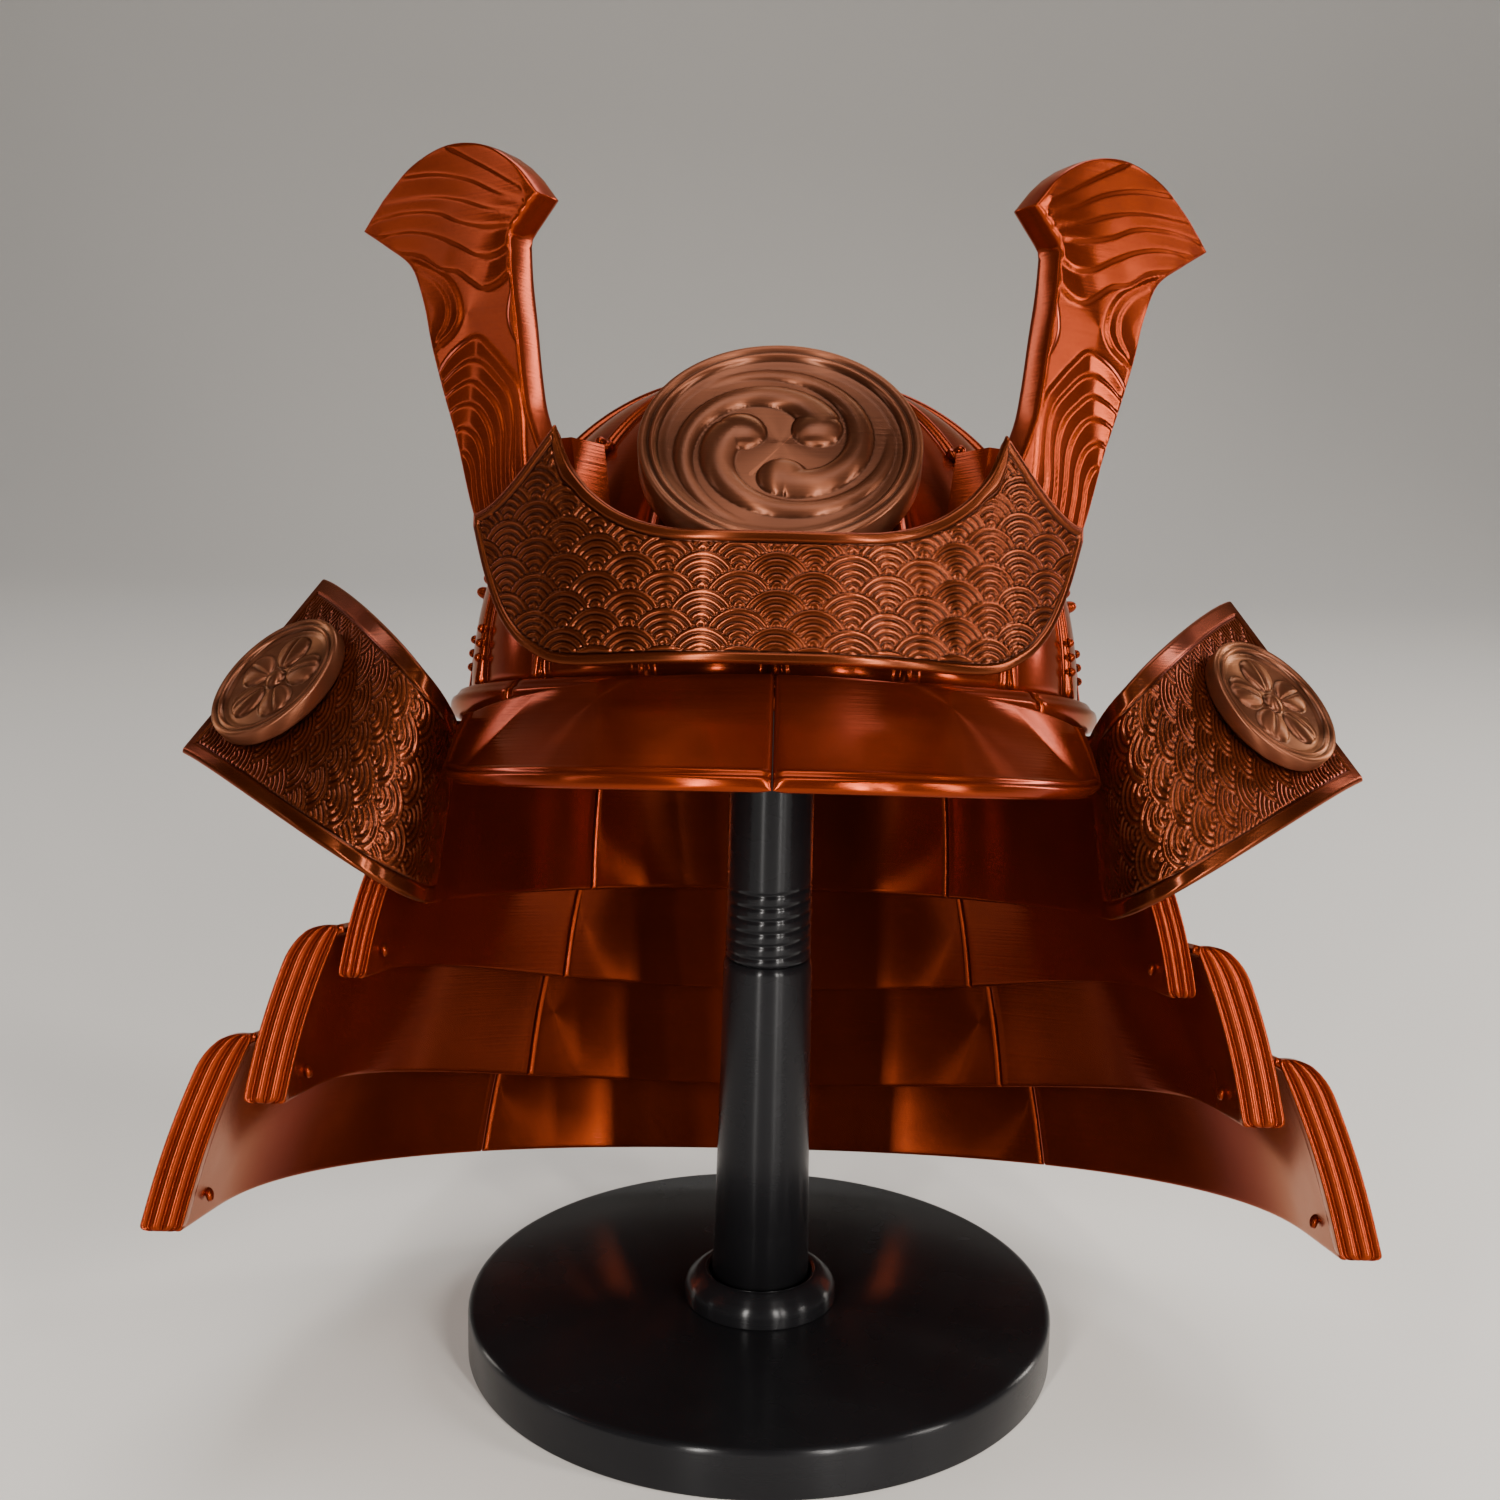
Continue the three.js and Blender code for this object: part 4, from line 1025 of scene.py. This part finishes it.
def lame_side(index, side, sign):
    """The left or right third of a lame, from its front end to the seam."""
    lame = LAMES[index]
    begin = LAME_END if not lame["roll"] else LAME_END * (1 - 3.0 / lame["end"])
    length = lame["end"] + math.radians(LAME["seam"]) * lame["half"][1]
    at = spaced(length, 3.0, 1.0)
    straight = lame["end"] * begin / LAME_END
    p = np.where(at < straight, begin + at / straight * -begin,
                 (at - straight) / (length - straight) * (LAME["seam"] - 0.1))
    middle = lame_surface(index, p, sign)
    body = Body()
    add_curved_sheet(body, middle, lame_thickness(middle))
    if lame["roll"]:
        roll_bar(body, index, sign)
    helmet_piece(f"lame_{index + 1}_{side}", body)


def lame_back(index):
    """The third of a lame between the two seams."""
    lame = LAMES[index]
    start = LAME["seam"] + 0.1
    length = 2 * math.radians(90 - start) * lame["back"][1] * 1.25
    at = spaced(length, 3.0, 1.0)
    turn = lerp(start, 180 - start, at / length)
    p = np.where(turn > 90, 180 - turn, turn)
    middle = lame_surface(index, p, -1)
    middle[..., 0] *= np.where(turn > 90, -1, 1)[:, None]
    body = Body()
    add_curved_sheet(body, middle, lame_thickness(middle))
    helmet_piece(f"lame_{index + 1}_back", body)


def rivet_piece(index, side, sign):
    """A small domed rivet near a lame's front end."""
    lame = LAMES[index]
    r, tall = RIVET["radius"], RIVET["height"]
    z = lame["bottom"] + RIVET["up"]
    p = np.array(LAME_END * 0.45)
    half, _ = lame_wall(lame, p, z)
    x, y = neck_plan(p, half - 2 * GAP, 0, lame["end"])
    slope = math.atan2(lame["half"][1] - lame["half"][0], lame["top"] - lame["bottom"])
    c, s = math.cos(slope), math.sin(slope)
    # Stands on the inner face and points in and up, square to the sloping wall.
    basis = np.array([[0, 1, 0], [-sign * s, 0, -c], [-sign * c, 0, s]])
    dome = [(r * math.cos(a), 0.3 + (tall - 0.3) * math.sin(a)) for a in np.linspace(0, 1.5, 7)]
    body = Body()
    profile = [(0, -0.6), (r, -0.6), *dome, (0, tall)]
    origin = np.array([sign * x, y, z])
    add_lathe(body, profile, 24, matrix=lambda q: q @ basis + origin)
    helmet_piece(f"rivet_{index + 1}_{side}", body)


for number in range(len(LAMES)):
    lame_back(number)
    for side, sign in SIDES:
        lame_side(number, side, sign)
        if LAMES[number]["roll"]:
            rivet_piece(number, side, sign)

for name, material, slot in (
    ("horn_socket_left", "copper", "helmet_print"),
    ("horn_socket_right", "copper", "helmet_print"),
    ("disc_boss", "bronze", "crest_print"),
):
    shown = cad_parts[name]
    shown.data.materials.clear()
    shown.data.materials.append(MATERIALS[material])

# ---- Stage, light and camera ------------------------------


def plain_material(name, colour, roughness):
    material = bpy.data.materials.new(name)
    material.use_nodes = True
    shader = material.node_tree.nodes["Principled BSDF"]
    shader.inputs["Base Color"].default_value = (*colour, 1)
    shader.inputs["Roughness"].default_value = roughness
    return material


def sweep():
    """A plain floor that curves up into the wall behind, so that no horizon shows."""
    turn = np.linspace(0, math.pi / 2, 33)
    profile = [(-4.0, 0.0), *((1.6 + 1.6 * math.sin(t), 1.6 - 1.6 * math.cos(t)) for t in turn), (3.2, 6.0)]
    points = [(x, y, z) for y, z in profile for x in (-7.0, 7.0)]
    faces = [(2 * k, 2 * k + 1, 2 * k + 3, 2 * k + 2) for k in range(len(profile) - 1)]
    mesh = bpy.data.meshes.new("floor")
    mesh.from_pydata(points, [], faces)
    mesh.polygons.foreach_set("use_smooth", [True] * len(mesh.polygons))
    mesh.materials.append(plain_material("floor_pale", (0.62, 0.61, 0.60), 0.75))
    made = bpy.data.objects.new("floor", mesh)
    bpy.context.scene.collection.objects.link(made)


sweep()

world = bpy.data.worlds.new("studio")
bpy.context.scene.world = world
world.use_nodes = True
world.node_tree.nodes["Background"].inputs["Color"].default_value = (0.80, 0.84, 0.90, 1)
world.node_tree.nodes["Background"].inputs["Strength"].default_value = 0.045


def softbox(name, azimuth, elevation, distance, size, power, warm):
    """An area light seen from the helmet at an azimuth (0 in front, + to the right) and elevation."""
    light = bpy.data.lights.new(name, "AREA")
    light.shape = "RECTANGLE"
    light.size, light.size_y = size
    light.energy = power
    light.color = (1.0, lerp(1.0, 0.93, warm), lerp(1.0, 0.84, warm))
    made = bpy.data.objects.new(name, light)
    bpy.context.scene.collection.objects.link(made)
    a, e = math.radians(azimuth), math.radians(elevation)
    target = np.array([0, -0.05, 0.30])
    at = target + distance * np.array([math.sin(a) * math.cos(e), -math.cos(a) * math.cos(e), math.sin(e)])
    made.location = at
    made.rotation_euler = Vector(target - at).to_track_quat("-Z", "Y").to_euler()


LIGHTS = (
    # name, azimuth, elevation, distance, size, power, warmth
    ("key_left", -21, 15, 1.9, (0.12, 1.3), 36, 1.0),
    ("key_right", 26, 15, 1.9, (0.11, 1.3), 34, 1.0),
    ("key_right_outer", 37, 15, 1.9, (0.07, 1.3), 16, 1.0),
    ("side_right", 68, 18, 1.8, (0.26, 1.1), 22, 1.0),
    ("side_left", -78, 18, 1.9, (0.20, 1.1), 3, 0.6),
    ("rim_right", 118, 12, 1.7, (0.20, 0.9), 14, 1.0),
    ("rim_left", -118, 12, 1.7, (0.20, 0.9), 5, 1.0),
    ("top", 0, 80, 1.7, (0.9, 0.8), 17, 0.6),
    ("back", 165, 45, 2.0, (1.0, 0.6), 12, 0.3),
)
for light in LIGHTS:
    softbox(*light)

camera_data = bpy.data.cameras.new("camera")
camera_data.sensor_width = 36
camera_data.lens = 57.6
camera_data.shift_x = -0.0153
camera = bpy.data.objects.new("camera", camera_data)
bpy.context.scene.collection.objects.link(camera)
bpy.context.scene.camera = camera
camera.location = (0, -0.9028, 0.4960)
camera.rotation_mode = "QUATERNION"


def look(pitch_down, roll):
    """Looks along +Y, tipped down, then rolled about the line of sight."""
    tip = Quaternion((1, 0, 0), math.radians(90 - pitch_down))
    return tip @ Quaternion((0, 0, 1), math.radians(roll))


camera.rotation_quaternion = look(14.956, 1.4)

bpy.context.view_layer.update()
